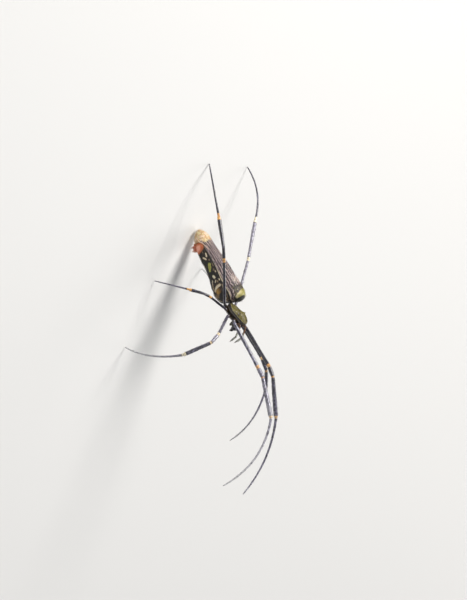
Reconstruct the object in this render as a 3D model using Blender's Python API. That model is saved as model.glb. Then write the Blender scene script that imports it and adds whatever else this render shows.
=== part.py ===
# A female golden silk orb weaver, life size, as a still museum model.
# It stands on five feet and holds three front legs up. Its head end is raised,
# and the tip of its abdomen hangs just clear of the floor.
# X runs forward along the floor, Y to the spider's left, Z up. Sizes are in
# millimetres until the last step.

import math

import bmesh
import bpy
from mathutils import Matrix, Vector

MM = 0.001
GAP = 0.3
HALF_GAP = GAP / 2

# The body: two parts joined by the pedicel, each with its own pitch
PEDICEL_HEIGHT = 31.2
PEDICEL_X = -2.9
HEAD_PITCH = 60.0
ABDOMEN_PITCH = 50.7
BODY_ROLL = 4.0
ABDOMEN_LENGTH = 37.4
PEDICEL_RADIUS = 0.75

# The carapace along its own axis: place, top, half width
CARAPACE_RIM = -1.9
CARAPACE = (
    (-0.5, -1.1, 1.3),
    (0.3, -0.2, 2.9),
    (1.6, 0.4, 4.1),
    (3.4, 0.75, 4.85),
    (5.0, 1.2, 4.6),
    (6.4, 1.65, 3.8),
    (8.0, 1.65, 3.15),
    (9.6, 1.3, 2.95),
    (10.7, 0.8, 2.7),
    (11.2, 0.2, 2.3),
)
CARAPACE_FULLNESS = 0.8
HORN_PLACE = (6.9, 0.75)
HORN_RADIUS = 0.3
HORN_HEIGHT = 0.65

# The sternum, with the body wall above it: place, half width
STERNUM_TOP = CARAPACE_RIM - GAP
STERNUM_BOTTOM = -4.8
STERNUM = ((0.3, 0.6), (1.2, 1.7), (3.0, 2.1), (5.0, 2.2), (6.8, 2.0), (8.0, 1.2))
LABIUM_LENGTH = 1.5
LABIUM_RADIUS = 0.42

# The jaws: root, belly and tip of the left one, as along, up and side
JAW_ROUTE = ((9.75, -1.9, 1.28), (10.05, -3.4, 1.3), (10.0, -5.2, 1.28), (9.75, -7.0, 1.2))
JAW_RADII = (1.0, 1.13, 1.12, 0.8)
FANG_ROUTE = ((9.75, -7.3, 1.25), (9.75, -7.9, 1.05), (9.5, -8.2, 0.65), (9.15, -8.2, 0.3))
FANG_RADII = (0.42, 0.36, 0.27, 0.12)

# The left feeler with its mouth plate
ENDITE_ROUTE = ((7.3, -4.6, 1.2), (7.6, -5.6, 1.25), (7.9, -6.7, 1.05))
ENDITE_RADII = (0.6, 0.72, 0.42)
PALP_ROUTE = (
    (7.7, -5.3, 1.6),
    (8.5, -5.0, 2.9),
    (11.2, -1.9, 3.3),
    (12.2, -2.9, 3.4),
    (13.5, -4.7, 3.4),
    (14.6, -6.8, 3.2),
    (14.4, -10.2, 2.7),
)
PALP_RADII = (0.4, 0.4, 0.4, 0.46, 0.42, 0.45, 0.27)

# Eyes: along, side and radius, one of each pair
EYES = {
    "eye_front_middle": (11.22, 0.42, 0.26),
    "eye_rear_middle": (10.55, 0.5, 0.27),
    "eye_front_side": (10.55, 1.95, 0.22),
    "eye_rear_side": (9.85, 2.0, 0.22),
}
EYE_FACE_HEIGHT = -0.35
EYE_SOCKET = 0.1

# The abdomen from tail to front: place, back, belly, half width
ABDOMEN = (
    (0.0, 0.8, -2.2, 1.8),
    (1.2, 1.6, -3.2, 2.7),
    (3.2, 2.6, -4.4, 3.6),
    (7.0, 3.1, -5.2, 4.4),
    (13.0, 4.1, -5.3, 5.2),
    (20.0, 5.5, -5.0, 5.8),
    (26.0, 6.2, -5.8, 6.15),
    (31.0, 7.0, -6.2, 6.2),
    (34.5, 7.3, -5.2, 5.8),
    (35.6, 7.1, -3.8, 5.3),
    (36.4, 6.8, -1.4, 4.7),
    (37.2, 6.1, 0.9, 3.6),
)
ABDOMEN_TAIL = (-0.6, -0.7)
ABDOMEN_FRONT = (38.3, 3.5)

# The spinnerets hang under the tail: along, side, lean forward, radius, length
SPINNERET_BASE = (6.3, 2.1)
SPINNERETS = ((7.4, 0.75, -4, 0.66, 2.3), (5.9, 0.72, -12, 0.58, 2.1), (6.6, 0.3, -6, 0.3, 1.9))
TUBERCLE = (4.9, 0.0, -25, 0.6, 1.3)
BELLY_AT_SPINNERETS = -4.7

# Legs from front to rear: the lengths of their pieces and their thickness
LEGS = {
    "1": {"femur": 23.4, "patella": 5.0, "tibia": 18.6, "metatarsus": 33.0, "tarsus": 5.5},
    "2": {"femur": 20.9, "patella": 5.6, "tibia": 13.8, "metatarsus": 29.0, "tarsus": 5.2},
    "3": {"femur": 11.6, "patella": 3.4, "tibia": 7.0, "metatarsus": 14.0, "tarsus": 4.0},
    "4": {"femur": 23.6, "patella": 6.0, "tibia": 14.8, "metatarsus": 24.2, "tarsus": 4.2},
}
LEG_GIRTH = {"1": 1.0, "2": 0.88, "3": 0.7, "4": 0.84}
FEMUR_BOW = 0.01
FEMUR_RADII = ((0.0, 0.66), (0.12, 0.8), (0.4, 0.8), (0.75, 0.72), (0.93, 0.8), (1.0, 0.84))
SHIN_RADII = ((0.0, 0.84), (0.1, 0.93), (0.2, 0.8), (0.27, 0.8), (0.6, 0.94), (0.93, 0.98), (1.0, 0.8))
METATARSUS_RADII = ((0.0, 0.66), (0.06, 0.62), (0.3, 0.52), (0.7, 0.42), (1.0, 0.38))
TARSUS_RADII = ((0.0, 0.35), (0.3, 0.34), (0.8, 0.28), (1.0, 0.22))
COXA_RADII = ((0.0, 0.86), (0.35, 0.98), (0.6, 0.92), (0.68, 0.78), (0.85, 0.84), (1.0, 0.66))

# Where each leg's coxa starts and where its femur does: along, up and side
COXA_ROOT = {"1": (7.3, -3.2, 2.1), "2": (5.2, -3.5, 2.2), "3": (3.2, -3.5, 2.2), "4": (1.35, -3.2, 1.9)}
HIP = {"1": (9.2, -2.9, 6.0), "2": (5.5, -3.8, 6.3), "3": (2.2, -2.7, 6.4), "4": (0.2, -1.9, 6.1)}

# The pose: heading and rise in degrees of femur, patella, tibia and both ends
# of the metatarsus. The last rise of a standing leg follows from the floor.
POSE = {
    "right_1": ((13, 52), (9, 51), (4, 37), (-10, 9), (-16, -18)),
    "left_1": ((-5, 58), (1, 47), (5, 29), (13, 7), (4, -8)),
    "right_2": ((-63, 18), (-39, 0), (-7, -42), (28, -63), (72, None)),
    "left_2": ((29, 50), (26, 38), (56, -3), (20, -5), (28, -27)),
    "right_3": ((-102, -27), (-93, -43), (-59, -72), (-42, -76), (59, None)),
    "left_3": ((118, -53), (131, -62), (146, -61), (130, -56), (102, None)),
    "right_4": ((-140, -8), (-143, -11), (-179, -35), (-174, -35), (142, None)),
    "left_4": ((167, -14), (160, -22), (156, -22), (164, -25), (163, None)),
}
KNEE_SOFTNESS = 0.3

LEG_SIDES = 10
CHITIN_BLACK = (0.012, 0.012, 0.018)
CARAPACE_OLIVE = (0.16, 0.14, 0.035)
ABDOMEN_BROWN = (0.11, 0.065, 0.05)
EYE_BLACK = (0.004, 0.004, 0.006)
SPINNERET_RED = (0.5, 0.1, 0.035)
JAW_VIOLET = (0.02, 0.012, 0.03)
PALP_BROWN = (0.3, 0.1, 0.025)


def clear_scene():
    for item in list(bpy.data.objects):
        bpy.data.objects.remove(item, do_unlink=True)


def pitched(origin, pitch):
    """The frame of a body part: its X runs forward, its Y to the left, its Z to the back."""
    turn = Matrix.Rotation(-math.radians(pitch), 4, "Y")
    roll = Matrix.Rotation(math.radians(BODY_ROLL), 4, "X")
    return Matrix.Translation(origin) @ turn @ roll


def blend(table, place, column):
    """A smooth value between the rows of a table, by a cubic through its neighbours."""
    last = len(table) - 1
    if place <= table[0][0]:
        return table[0][column]
    if place >= table[last][0]:
        return table[last][column]
    index = 0
    while table[index + 1][0] < place:
        index += 1
    low, high = table[index], table[index + 1]
    before = table[max(index - 1, 0)]
    after = table[min(index + 2, last)]
    span = high[0] - low[0]
    slope_low = (high[column] - before[column]) / (high[0] - before[0]) * span
    slope_high = (after[column] - low[column]) / (after[0] - low[0]) * span
    t = (place - low[0]) / span
    return (
        (2 * t**3 - 3 * t**2 + 1) * low[column]
        + (t**3 - 2 * t**2 + t) * slope_low
        + (3 * t**2 - 2 * t**3) * high[column]
        + (t**3 - t**2) * slope_high
    )


def solid_from_rings(name, rings, first=None, last=None):
    """A closed body through rings of points, ended by a point or a flat face."""
    mesh = bpy.data.meshes.new(name)
    build = bmesh.new()
    loops = [[build.verts.new(point) for point in ring] for ring in rings]
    count = len(loops[0])
    for ring, following in zip(loops, loops[1:]):
        for side in range(count):
            after = (side + 1) % count
            build.faces.new((ring[side], ring[after], following[after], following[side]))
    for ring, tip in ((loops[0], first), (loops[-1], last)):
        if tip is None:
            build.faces.new(ring)
            continue
        point = build.verts.new(tip)
        for side in range(count):
            build.faces.new((ring[side], ring[(side + 1) % count], point))
    bmesh.ops.triangulate(build, faces=[face for face in build.faces if len(face.verts) == 4])
    bmesh.ops.recalc_face_normals(build, faces=build.faces)
    if build.calc_volume(signed=True) < 0:
        bmesh.ops.reverse_faces(build, faces=build.faces)
    build.to_mesh(mesh)
    build.free()
    item = bpy.data.objects.new(name, mesh)
    bpy.context.scene.collection.objects.link(item)
    return item


def apply_boolean(item, operation, others):
    """Unites an object with others, or cuts them from it, and removes them."""
    group = bpy.data.collections.new("pieces")
    bpy.context.scene.collection.children.link(group)
    for other in others:
        for owner in list(other.users_collection):
            owner.objects.unlink(other)
        group.objects.link(other)
    change = item.modifiers.new("join", "BOOLEAN")
    change.operation = operation
    change.solver = "EXACT"
    change.operand_type = "COLLECTION"
    change.collection = group
    bpy.context.view_layer.update()
    graph = bpy.context.evaluated_depsgraph_get()
    result = bpy.data.meshes.new_from_object(item.evaluated_get(graph))
    item.modifiers.clear()
    item.data = result
    for other in others:
        bpy.data.objects.remove(other, do_unlink=True)
    bpy.data.collections.remove(group)
    keep_largest(item)
    return item


def keep_largest(item):
    """Leaves only the largest closed surface of an object."""
    build = bmesh.new()
    build.from_mesh(item.data)
    waiting = set(build.faces)
    islands = []
    while waiting:
        front = [waiting.pop()]
        island = []
        while front:
            face = front.pop()
            island.append(face)
            for edge in face.edges:
                for other in edge.link_faces:
                    if other in waiting:
                        waiting.remove(other)
                        front.append(other)
        islands.append(island)
    islands.sort(key=lambda faces: sum(face.calc_area() for face in faces))
    for island in islands[:-1]:
        bmesh.ops.delete(build, geom=island, context="FACES")
    bmesh.ops.triangulate(build, faces=[face for face in build.faces if len(face.verts) > 4])
    build.to_mesh(item.data)
    build.free()


def heading(azimuth, elevation):
    """A unit vector from a heading and a rise in degrees."""
    flat = math.cos(math.radians(elevation))
    turn = math.radians(azimuth)
    return Vector((flat * math.cos(turn), flat * math.sin(turn), math.sin(math.radians(elevation))))


def softened(points, share, steps=3):
    """A route with each inner corner turned into an arc."""
    route = [points[0]]
    for before, corner, after in zip(points, points[1:], points[2:]):
        start = corner.lerp(before, share)
        end = corner.lerp(after, share)
        for step in range(steps + 1):
            t = step / steps
            route.append(start.lerp(corner, t).lerp(corner.lerp(end, t), t))
    route.append(points[-1])
    return route


def arc_through(start, middle, end, steps=14):
    """A smooth curve from start to end that passes through the middle point."""
    first = (middle - start).length
    share = first / (first + (end - middle).length)
    bend = (middle - (1 - share) ** 2 * start - share**2 * end) / (2 * share * (1 - share))
    places = [step / steps for step in range(steps + 1)]
    return [start.lerp(bend, t).lerp(bend.lerp(end, t), t) for t in places]


def parted(route, length, gap):
    """A route parted at a length along it, with a gap between the two halves."""
    reach = 0.0
    for index, (start, end) in enumerate(zip(route, route[1:])):
        step = (end - start).length
        if reach + step >= length:
            break
        reach += step
    cut = start.lerp(end, (length - reach) / step)
    way = (end - start).normalized()
    first = [point for point in route[: index + 1] if (point - cut).length > 0.5]
    second = [point for point in route[index + 1 :] if (point - cut).length > 0.5]
    return first + [cut - way * gap / 2], [cut + way * gap / 2] + second


def divided(route, longest):
    """The same route with its long stretches divided evenly."""
    points = [route[0]]
    for start, end in zip(route, route[1:]):
        count = max(1, round((end - start).length / longest))
        points += [start.lerp(end, step / count) for step in range(1, count + 1)]
    return points


def tube(name, route, radii, sides=LEG_SIDES, start_face=None, end_face=None, flatness=1.0):
    """A tapered round body along a route, its ends cut on the given planes."""
    reach = [0.0]
    for start, end in zip(route, route[1:]):
        reach.append(reach[-1] + (end - start).length)
    rings = []
    side_way = None
    for index, point in enumerate(route):
        before = route[max(index - 1, 0)]
        after = route[min(index + 1, len(route) - 1)]
        forward = (after - before).normalized()
        if side_way is None:
            side_way = forward.orthogonal().normalized()
        side_way = (side_way - forward * side_way.dot(forward)).normalized()
        up_way = forward.cross(side_way)
        radius = blend(radii, reach[index] / reach[-1], 1)
        cut = start_face if index == 0 else end_face if index == len(route) - 1 else None
        ring = []
        for side in range(sides):
            turn = 2 * math.pi * side / sides
            spot = point + radius * (math.cos(turn) * side_way + flatness * math.sin(turn) * up_way)
            if cut is not None:
                spot = spot + forward * ((point - spot).dot(cut) / forward.dot(cut))
            ring.append(spot)
        rings.append(ring)
    return solid_from_rings(name, rings)


def along_table(radii):
    """Radii at even shares of a route."""
    last = len(radii) - 1
    return tuple((index / last, radius) for index, radius in enumerate(radii))


def cone(name, frame, place, side, lean, radius, length, top):
    """A blunt cone that hangs from a body part, with its root sunk in it."""
    way = Vector((math.sin(math.radians(lean)), 0, -math.cos(math.radians(lean))))
    root = Vector((place, side, top))
    route = [frame @ (root + way * (length * share)) for share in (0, 0.45, 0.8, 1.0)]
    return tube(name, route, ((0, radius), (0.45, radius), (0.8, radius * 0.75), (1, radius * 0.35)), 9)


def paint(item, name, colour, roughness, metallic=0.0):
    material = bpy.data.materials.get(name)
    if material is None:
        material = bpy.data.materials.new(name)
        material.use_nodes = True
        shader = material.node_tree.nodes["Principled BSDF"]
        shader.inputs["Base Color"].default_value = (*colour, 1)
        shader.inputs["Roughness"].default_value = roughness
        shader.inputs["Metallic"].default_value = metallic
        material.diffuse_color = (*colour, 1)
    item.data.materials.clear()
    item.data.materials.append(material)
    item.data.shade_smooth()
    item.data.set_sharp_from_angle(angle=math.radians(50))


def carapace_ring(place, grow=0.0):
    """One cross-section of the carapace: a dome over a nearly flat floor."""
    top = blend(CARAPACE, place, 1) + grow
    half = blend(CARAPACE, place, 2) + grow
    rim = CARAPACE_RIM - grow
    ring = []
    count = 28
    for index in range(count):
        turn = 2 * math.pi * index / count
        rise = math.sin(turn)
        height = rim + (top - rim) * rise**CARAPACE_FULLNESS if rise > 0 else rim
        ring.append(Vector((place, half * math.cos(turn), height)))
    return ring


def carapace_top(place, side):
    """The height of the carapace at a place along it and aside."""
    top = blend(CARAPACE, place, 1)
    half = blend(CARAPACE, place, 2)
    rise = math.sqrt(max(0.0, 1 - (side / half) ** 2))
    return CARAPACE_RIM + (top - CARAPACE_RIM) * rise**CARAPACE_FULLNESS


def carapace_body(name, frame, grow=0.0):
    start, end = CARAPACE[0][0], CARAPACE[-1][0]
    count = 17
    places = [start + (end - start) * index / count for index in range(count + 1)]
    rings = [carapace_ring(place, grow) for place in places]
    if grow:
        rings[0] = [point - Vector((grow, 0, 0)) for point in rings[0]]
        rings[-1] = [point + Vector((grow, 0, 0)) for point in rings[-1]]
    return solid_from_rings(name, [[frame @ point for point in ring] for ring in rings])


def eye_centre(name, side):
    place, aside, _ = EYES[name]
    front = CARAPACE[-1][0]
    if place > front:
        return Vector((place, side * aside, EYE_FACE_HEIGHT))
    return Vector((place, side * aside, carapace_top(place, aside) + 0.03))


def ball(name, centre, radius, detail=2):
    build = bmesh.new()
    bmesh.ops.create_icosphere(build, subdivisions=detail, radius=radius)
    bmesh.ops.translate(build, verts=build.verts, vec=centre)
    mesh = bpy.data.meshes.new(name)
    build.to_mesh(mesh)
    build.free()
    item = bpy.data.objects.new(name, mesh)
    bpy.context.scene.collection.objects.link(item)
    return item


def make_head(frame):
    """The carapace with its two horns and eye sockets, and the eight eyes."""
    carapace = carapace_body("carapace", frame)
    horns = []
    for side in (1, -1):
        place, aside = HORN_PLACE
        base = carapace_top(place, aside)
        route = [
            frame @ Vector((place, side * aside, base - HORN_RADIUS)),
            frame @ Vector((place, side * aside, base + HORN_HEIGHT * 0.5)),
            frame @ Vector((place, side * aside, base + HORN_HEIGHT)),
        ]
        horns.append(tube("horn", route, ((0, HORN_RADIUS), (0.6, 0.26), (1, 0.1)), 8))
    apply_boolean(carapace, "UNION", horns)
    sockets = []
    for name, (_, _, radius) in EYES.items():
        for word, side in (("left", 1), ("right", -1)):
            centre = frame @ eye_centre(name, side)
            eye = ball(name + "_" + word, centre, radius)
            paint(eye, "eye", EYE_BLACK, 0.08)
            sockets.append(ball("socket", centre, radius + EYE_SOCKET))
    apply_boolean(carapace, "DIFFERENCE", sockets)
    paint(carapace, "carapace", CARAPACE_OLIVE, 0.42)


def sternum_body(name, frame, grow=0.0):
    """The heart-shaped sternum and the body wall that stands on it."""
    start, end = STERNUM[0][0], STERNUM[-1][0]
    count = 10
    rings = []
    for index in range(count + 1):
        place = start + (end - start) * index / count
        half = blend(STERNUM, place, 1) + grow
        top, bottom = STERNUM_TOP + grow, STERNUM_BOTTOM - grow
        middle = (top + bottom) / 2
        ring = []
        for turn_index in range(16):
            turn = 2 * math.pi * turn_index / 16
            y = half * math.copysign(abs(math.cos(turn)) ** 0.6, math.cos(turn))
            z = middle + (top - middle) * math.copysign(abs(math.sin(turn)) ** 0.6, math.sin(turn))
            ring.append(Vector((place, y, z)))
        rings.append(ring)
    if grow:
        rings[0] = [point - Vector((grow, 0, 0)) for point in rings[0]]
        rings[-1] = [point + Vector((grow, 0, 0)) for point in rings[-1]]
    return solid_from_rings(name, [[frame @ point for point in ring] for ring in rings])


def make_sternum(frame):
    sternum = sternum_body("sternum", frame)
    root = Vector((7.2, 0, STERNUM_BOTTOM + LABIUM_RADIUS))
    tip = root + Vector((0.35, 0, -LABIUM_LENGTH))
    route = [frame @ root, frame @ root.lerp(tip, 0.6), frame @ tip]
    radii = ((0, LABIUM_RADIUS), (0.6, LABIUM_RADIUS), (1, LABIUM_RADIUS * 0.6))
    apply_boolean(sternum, "UNION", [tube("labium", route, radii, 8)])
    paint(sternum, "sternum", JAW_VIOLET, 0.35)


def mirrored(route, side):
    return [Vector((along, side * aside, up)) for along, up, aside in route]


def make_mouth(frame, word, side):
    """One jaw with its fang, and one feeler with its mouth plate."""
    route = [frame @ point for point in divided(softened(mirrored(JAW_ROUTE, side), 0.3, 2), 1.2)]
    jaw = tube("chelicera_" + word, route, along_table(JAW_RADII), 14)
    apply_boolean(jaw, "DIFFERENCE", [carapace_body("cutter", frame, GAP)])
    paint(jaw, "jaws", JAW_VIOLET, 0.2)

    route = [frame @ point for point in softened(mirrored(FANG_ROUTE, side), 0.3, 2)]
    fang = tube("fang_" + word, route, along_table(FANG_RADII), 8)
    paint(fang, "jaws", JAW_VIOLET, 0.2)

    plate_route = [frame @ point for point in softened(mirrored(ENDITE_ROUTE, side), 0.3, 2)]
    plate = tube("palp_" + word, plate_route, along_table(ENDITE_RADII), 12)
    route = [frame @ point for point in divided(softened(mirrored(PALP_ROUTE, side), 0.25), 1.6)]
    feeler = tube("feeler", route, along_table(PALP_RADII))
    apply_boolean(plate, "UNION", [feeler])
    apply_boolean(plate, "DIFFERENCE", [sternum_body("cutter", frame, GAP)])
    paint(plate, "feelers", PALP_BROWN, 0.35)


def abdomen_body(name, frame, grow=0.0):
    """The long abdomen: oval rings between a blunt tail and an overhanging front."""
    count = 24
    places = []
    for low, high in zip(ABDOMEN, ABDOMEN[1:]):
        steps = max(1, round((high[0] - low[0]) / 2.2))
        places += [low[0] + (high[0] - low[0]) * step / steps for step in range(steps)]
    places.append(ABDOMEN[-1][0])
    rings = []
    for place in places:
        back = blend(ABDOMEN, place, 1) + grow
        belly = blend(ABDOMEN, place, 2) - grow
        half = blend(ABDOMEN, place, 3) + grow
        middle = (back + belly) / 2
        ring = []
        for index in range(count):
            turn = 2 * math.pi * index / count
            ring.append(
                frame @ Vector((place, half * math.cos(turn), middle + (back - middle) * math.sin(turn)))
            )
        rings.append(ring)
    tail = frame @ Vector((ABDOMEN_TAIL[0] - grow, 0, ABDOMEN_TAIL[1]))
    front = frame @ Vector((ABDOMEN_FRONT[0] + grow, 0, ABDOMEN_FRONT[1]))
    return solid_from_rings(name, rings, tail, front)


def make_abdomen(frame):
    abdomen = abdomen_body("abdomen", frame)
    paint(abdomen, "abdomen", ABDOMEN_BROWN, 0.5)

    place, reach = SPINNERET_BASE
    top = BELLY_AT_SPINNERETS + 0.5
    route = [frame @ Vector((place, 0, top - step)) for step in (0, 0.9, 1.4)]
    mound = tube("spinnerets", route, ((0, reach), (0.65, reach), (1, reach * 0.75)), 20)
    fingers = []
    for along, aside, lean, radius, length in SPINNERETS:
        for side in (1, -1):
            fingers.append(cone("finger", frame, along, side * aside, lean, radius, length, top - 0.8))
    fingers.append(cone("finger", frame, *TUBERCLE, top - 0.4))
    apply_boolean(mound, "UNION", fingers)
    apply_boolean(mound, "DIFFERENCE", [abdomen_body("cutter", frame, GAP)])
    paint(mound, "spinnerets", SPINNERET_RED, 0.5)


def make_pedicel(head, rear):
    """The narrow stalk between the two halves of the body."""
    start = rear @ Vector((ABDOMEN_LENGTH - 1.8, 0, 0))
    end = head @ Vector((1.4, 0, -1.7))
    route = [start, start.lerp(end, 0.5), end]
    stalk = tube("pedicel", route, ((0, PEDICEL_RADIUS), (0.5, PEDICEL_RADIUS), (1, PEDICEL_RADIUS)), 12)
    cutters = [
        abdomen_body("cutter", rear, GAP),
        carapace_body("cutter", head, GAP),
        sternum_body("cutter", head, GAP),
    ]
    apply_boolean(stalk, "DIFFERENCE", cutters)
    paint(stalk, "pedicel", CHITIN_BLACK, 0.4)


def bisector(first, second):
    return (first + second).normalized()


def scaled(radii, girth):
    return tuple((share, radius * girth) for share, radius in radii)


def leg_route(hip, lengths, pose):
    """The joints of a leg from its hip, the last one on the floor if it stands."""
    reaches = (
        lengths["femur"],
        lengths["patella"],
        lengths["tibia"],
        lengths["metatarsus"] / 2,
        lengths["metatarsus"] / 2 + lengths["tarsus"],
    )
    joints = [hip]
    for reach, (azimuth, elevation) in zip(reaches, pose):
        if elevation is None:
            elevation = -math.degrees(math.asin(joints[-1].z / reach))
        joints.append(joints[-1] + reach * heading(azimuth, elevation))
    return joints


def cut_at_floor(item):
    """A small flat under a foot, where the leg meets the floor."""
    build = bmesh.new()
    build.from_mesh(item.data)
    geometry = build.verts[:] + build.edges[:] + build.faces[:]
    result = bmesh.ops.bisect_plane(
        build, geom=geometry, plane_co=(0, 0, 0), plane_no=(0, 0, -1), clear_outer=True
    )
    edges = [piece for piece in result["geom_cut"] if isinstance(piece, bmesh.types.BMEdge)]
    bmesh.ops.edgenet_fill(build, edges=edges)
    bmesh.ops.recalc_face_normals(build, faces=build.faces)
    build.to_mesh(item.data)
    build.free()


def make_leg(head, word, number):
    """One leg of five nodes, each cut to meet the next across the gap."""
    side = 1 if word == "left" else -1
    name = "leg_" + word + "_" + number + "_"
    girth = LEG_GIRTH[number]
    lengths = LEGS[number]
    pose = POSE[word + "_" + number]
    root = head @ mirrored([COXA_ROOT[number]], side)[0]
    hip = head @ mirrored([HIP[number]], side)[0]
    joints = leg_route(hip, lengths, pose)
    knee, wrist = joints[1], joints[3]
    stands = pose[-1][1] is None
    ways = [(end - start).normalized() for start, end in zip([root] + joints, joints)]
    coxa_way, femur_way, patella_way, tibia_way = ways[:4]
    arch = arc_through(wrist, joints[4], joints[5])
    arch_way = (arch[1] - arch[0]).normalized()

    hip_face = bisector(coxa_way, femur_way)
    knee_face = bisector(femur_way, patella_way)
    wrist_face = bisector(tibia_way, arch_way)

    def before(point, way, face):
        return point - way * (HALF_GAP / way.dot(face))

    def after(point, way, face):
        return point + way * (HALF_GAP / way.dot(face))

    route = divided([root, before(hip, coxa_way, hip_face)], 0.55)
    coxa = tube(name + "coxa", route, scaled(COXA_RADII, girth**0.5), end_face=hip_face)
    cutters = [carapace_body("cutter", head, GAP), sternum_body("cutter", head, GAP)]
    apply_boolean(coxa, "DIFFERENCE", cutters)
    paint(coxa, "coxae", CHITIN_BLACK, 0.35)

    start = after(hip, femur_way, hip_face)
    end = before(knee, femur_way, knee_face)
    spacing = lengths["femur"] / 7
    outward = femur_way * tibia_way.dot(femur_way) - tibia_way
    middle = start.lerp(end, 0.5) + outward.normalized() * lengths["femur"] * FEMUR_BOW
    curve = arc_through(start, middle, end, 8)
    route = [start, start + femur_way] + curve[1:-1] + [end - femur_way, end]
    femur = tube(name + "femur", route, scaled(FEMUR_RADII, girth), start_face=hip_face, end_face=knee_face)
    paint(femur, "leg chitin", CHITIN_BLACK, 0.25)

    start = after(knee, patella_way, knee_face)
    end = before(wrist, tibia_way, wrist_face)
    bend = softened([start, joints[2], end], KNEE_SOFTNESS)
    route = [start, start + patella_way * 0.8] + divided(bend[1:-1], spacing)
    route += divided([bend[-2], end - tibia_way], spacing)[1:] + [end]
    shin = tube(name + "tibia", route, scaled(SHIN_RADII, girth), start_face=knee_face, end_face=wrist_face)
    paint(shin, "leg chitin", CHITIN_BLACK, 0.25)

    start = after(wrist, arch_way, wrist_face)
    tip = joints[5]
    curve = arc_through(start, joints[4], tip)
    curve = [start, start + (curve[1] - start).normalized() * 0.7] + curve[1:]
    if stands:
        curve.append(tip + (tip - curve[-2]).normalized() * 0.6)
    arch_route, toe_route = parted(curve, lengths["metatarsus"], GAP)
    arch = tube(name + "metatarsus", arch_route, scaled(METATARSUS_RADII, girth), start_face=wrist_face)
    paint(arch, "leg chitin", CHITIN_BLACK, 0.25)

    toe = tube(name + "tarsus", divided(toe_route, 1.2), scaled(TARSUS_RADII, girth**0.5))
    if stands:
        cut_at_floor(toe)
    paint(toe, "leg chitin", CHITIN_BLACK, 0.3)


def set_origin_and_scale():
    """Moves the model so that the origin is under its middle, and turns millimetres into metres."""
    items = list(bpy.context.scene.collection.objects)
    low = [min(vertex.co[axis] for item in items for vertex in item.data.vertices) for axis in range(3)]
    high = [max(vertex.co[axis] for item in items for vertex in item.data.vertices) for axis in range(3)]
    middle = Vector(((low[0] + high[0]) / 2, (low[1] + high[1]) / 2, low[2]))
    change = Matrix.Scale(MM, 4) @ Matrix.Translation(-middle)
    for item in items:
        item.data.transform(change)
        item.data.update()


def main():
    clear_scene()
    pedicel = Vector((PEDICEL_X, 0, PEDICEL_HEIGHT))
    head = pitched(pedicel, HEAD_PITCH)
    rear = pitched(pedicel, ABDOMEN_PITCH) @ Matrix.Translation((-ABDOMEN_LENGTH, 0, 0))
    make_head(head)
    make_sternum(head)
    for word, side in (("left", 1), ("right", -1)):
        make_mouth(head, word, side)
    make_pedicel(head, rear)
    make_abdomen(rear)
    for number in LEGS:
        for word in ("left", "right"):
            make_leg(head, word, number)
    set_origin_and_scale()


main()
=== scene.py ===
# The finish of a female golden silk orb weaver, life size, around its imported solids.
# Pieces are shaped in millimetres in the frame of the body part that they belong to,
# and settle() turns them into metres in the model's own frame.
import math

import bpy
import numpy as np
from mathutils import Matrix, Vector


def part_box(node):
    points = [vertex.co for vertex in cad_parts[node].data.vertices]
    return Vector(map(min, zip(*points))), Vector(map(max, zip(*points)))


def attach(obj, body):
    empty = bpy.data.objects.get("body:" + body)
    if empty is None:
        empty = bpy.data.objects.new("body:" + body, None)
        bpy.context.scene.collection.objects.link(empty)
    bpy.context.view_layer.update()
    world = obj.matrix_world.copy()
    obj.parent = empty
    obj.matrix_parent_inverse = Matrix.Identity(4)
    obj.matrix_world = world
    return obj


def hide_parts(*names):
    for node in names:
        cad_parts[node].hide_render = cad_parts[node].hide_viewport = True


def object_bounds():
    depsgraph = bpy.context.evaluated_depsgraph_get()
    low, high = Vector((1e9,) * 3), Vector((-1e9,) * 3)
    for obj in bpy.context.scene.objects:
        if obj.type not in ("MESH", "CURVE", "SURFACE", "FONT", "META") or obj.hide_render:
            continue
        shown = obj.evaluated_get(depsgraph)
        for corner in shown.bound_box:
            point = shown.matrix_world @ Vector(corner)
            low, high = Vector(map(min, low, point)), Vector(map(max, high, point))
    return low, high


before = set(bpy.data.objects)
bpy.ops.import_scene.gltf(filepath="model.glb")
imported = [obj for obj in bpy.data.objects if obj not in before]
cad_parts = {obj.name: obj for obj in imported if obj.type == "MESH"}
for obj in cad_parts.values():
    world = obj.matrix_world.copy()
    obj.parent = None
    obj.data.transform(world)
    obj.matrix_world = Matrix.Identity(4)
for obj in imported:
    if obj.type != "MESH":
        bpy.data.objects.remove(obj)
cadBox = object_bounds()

millimetre = 0.001

# the two halves of the body, as the solids hold them
body = {
    "headPitch": 60.0,
    "abdomenPitch": 50.7,
    "roll": 4.0,
    "abdomenLength": 37.4,
    "frontEyes": (11.22, 0.0, -0.35),  # the middle between the two front middle eyes
}


def pitched(origin, pitch):
    turn = Matrix.Rotation(-math.radians(pitch), 4, "Y")
    roll = Matrix.Rotation(math.radians(body["roll"]), 4, "X")
    return Matrix.Translation(origin) @ turn @ roll @ Matrix.Scale(millimetre, 4)


eyeCorners = [corner for word in ("left", "right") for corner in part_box("eye_front_middle_" + word)]
eyeMiddle = sum(eyeCorners, Vector()) / len(eyeCorners)
waist = eyeMiddle - pitched((0, 0, 0), body["headPitch"]) @ Vector(body["frontEyes"])
headFrame = pitched(waist, body["headPitch"])
rearFrame = pitched(waist, body["abdomenPitch"]) @ Matrix.Translation((-body["abdomenLength"], 0, 0))
worldFrame = Matrix.Scale(millimetre, 4)


# Camera, floor and lights

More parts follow.
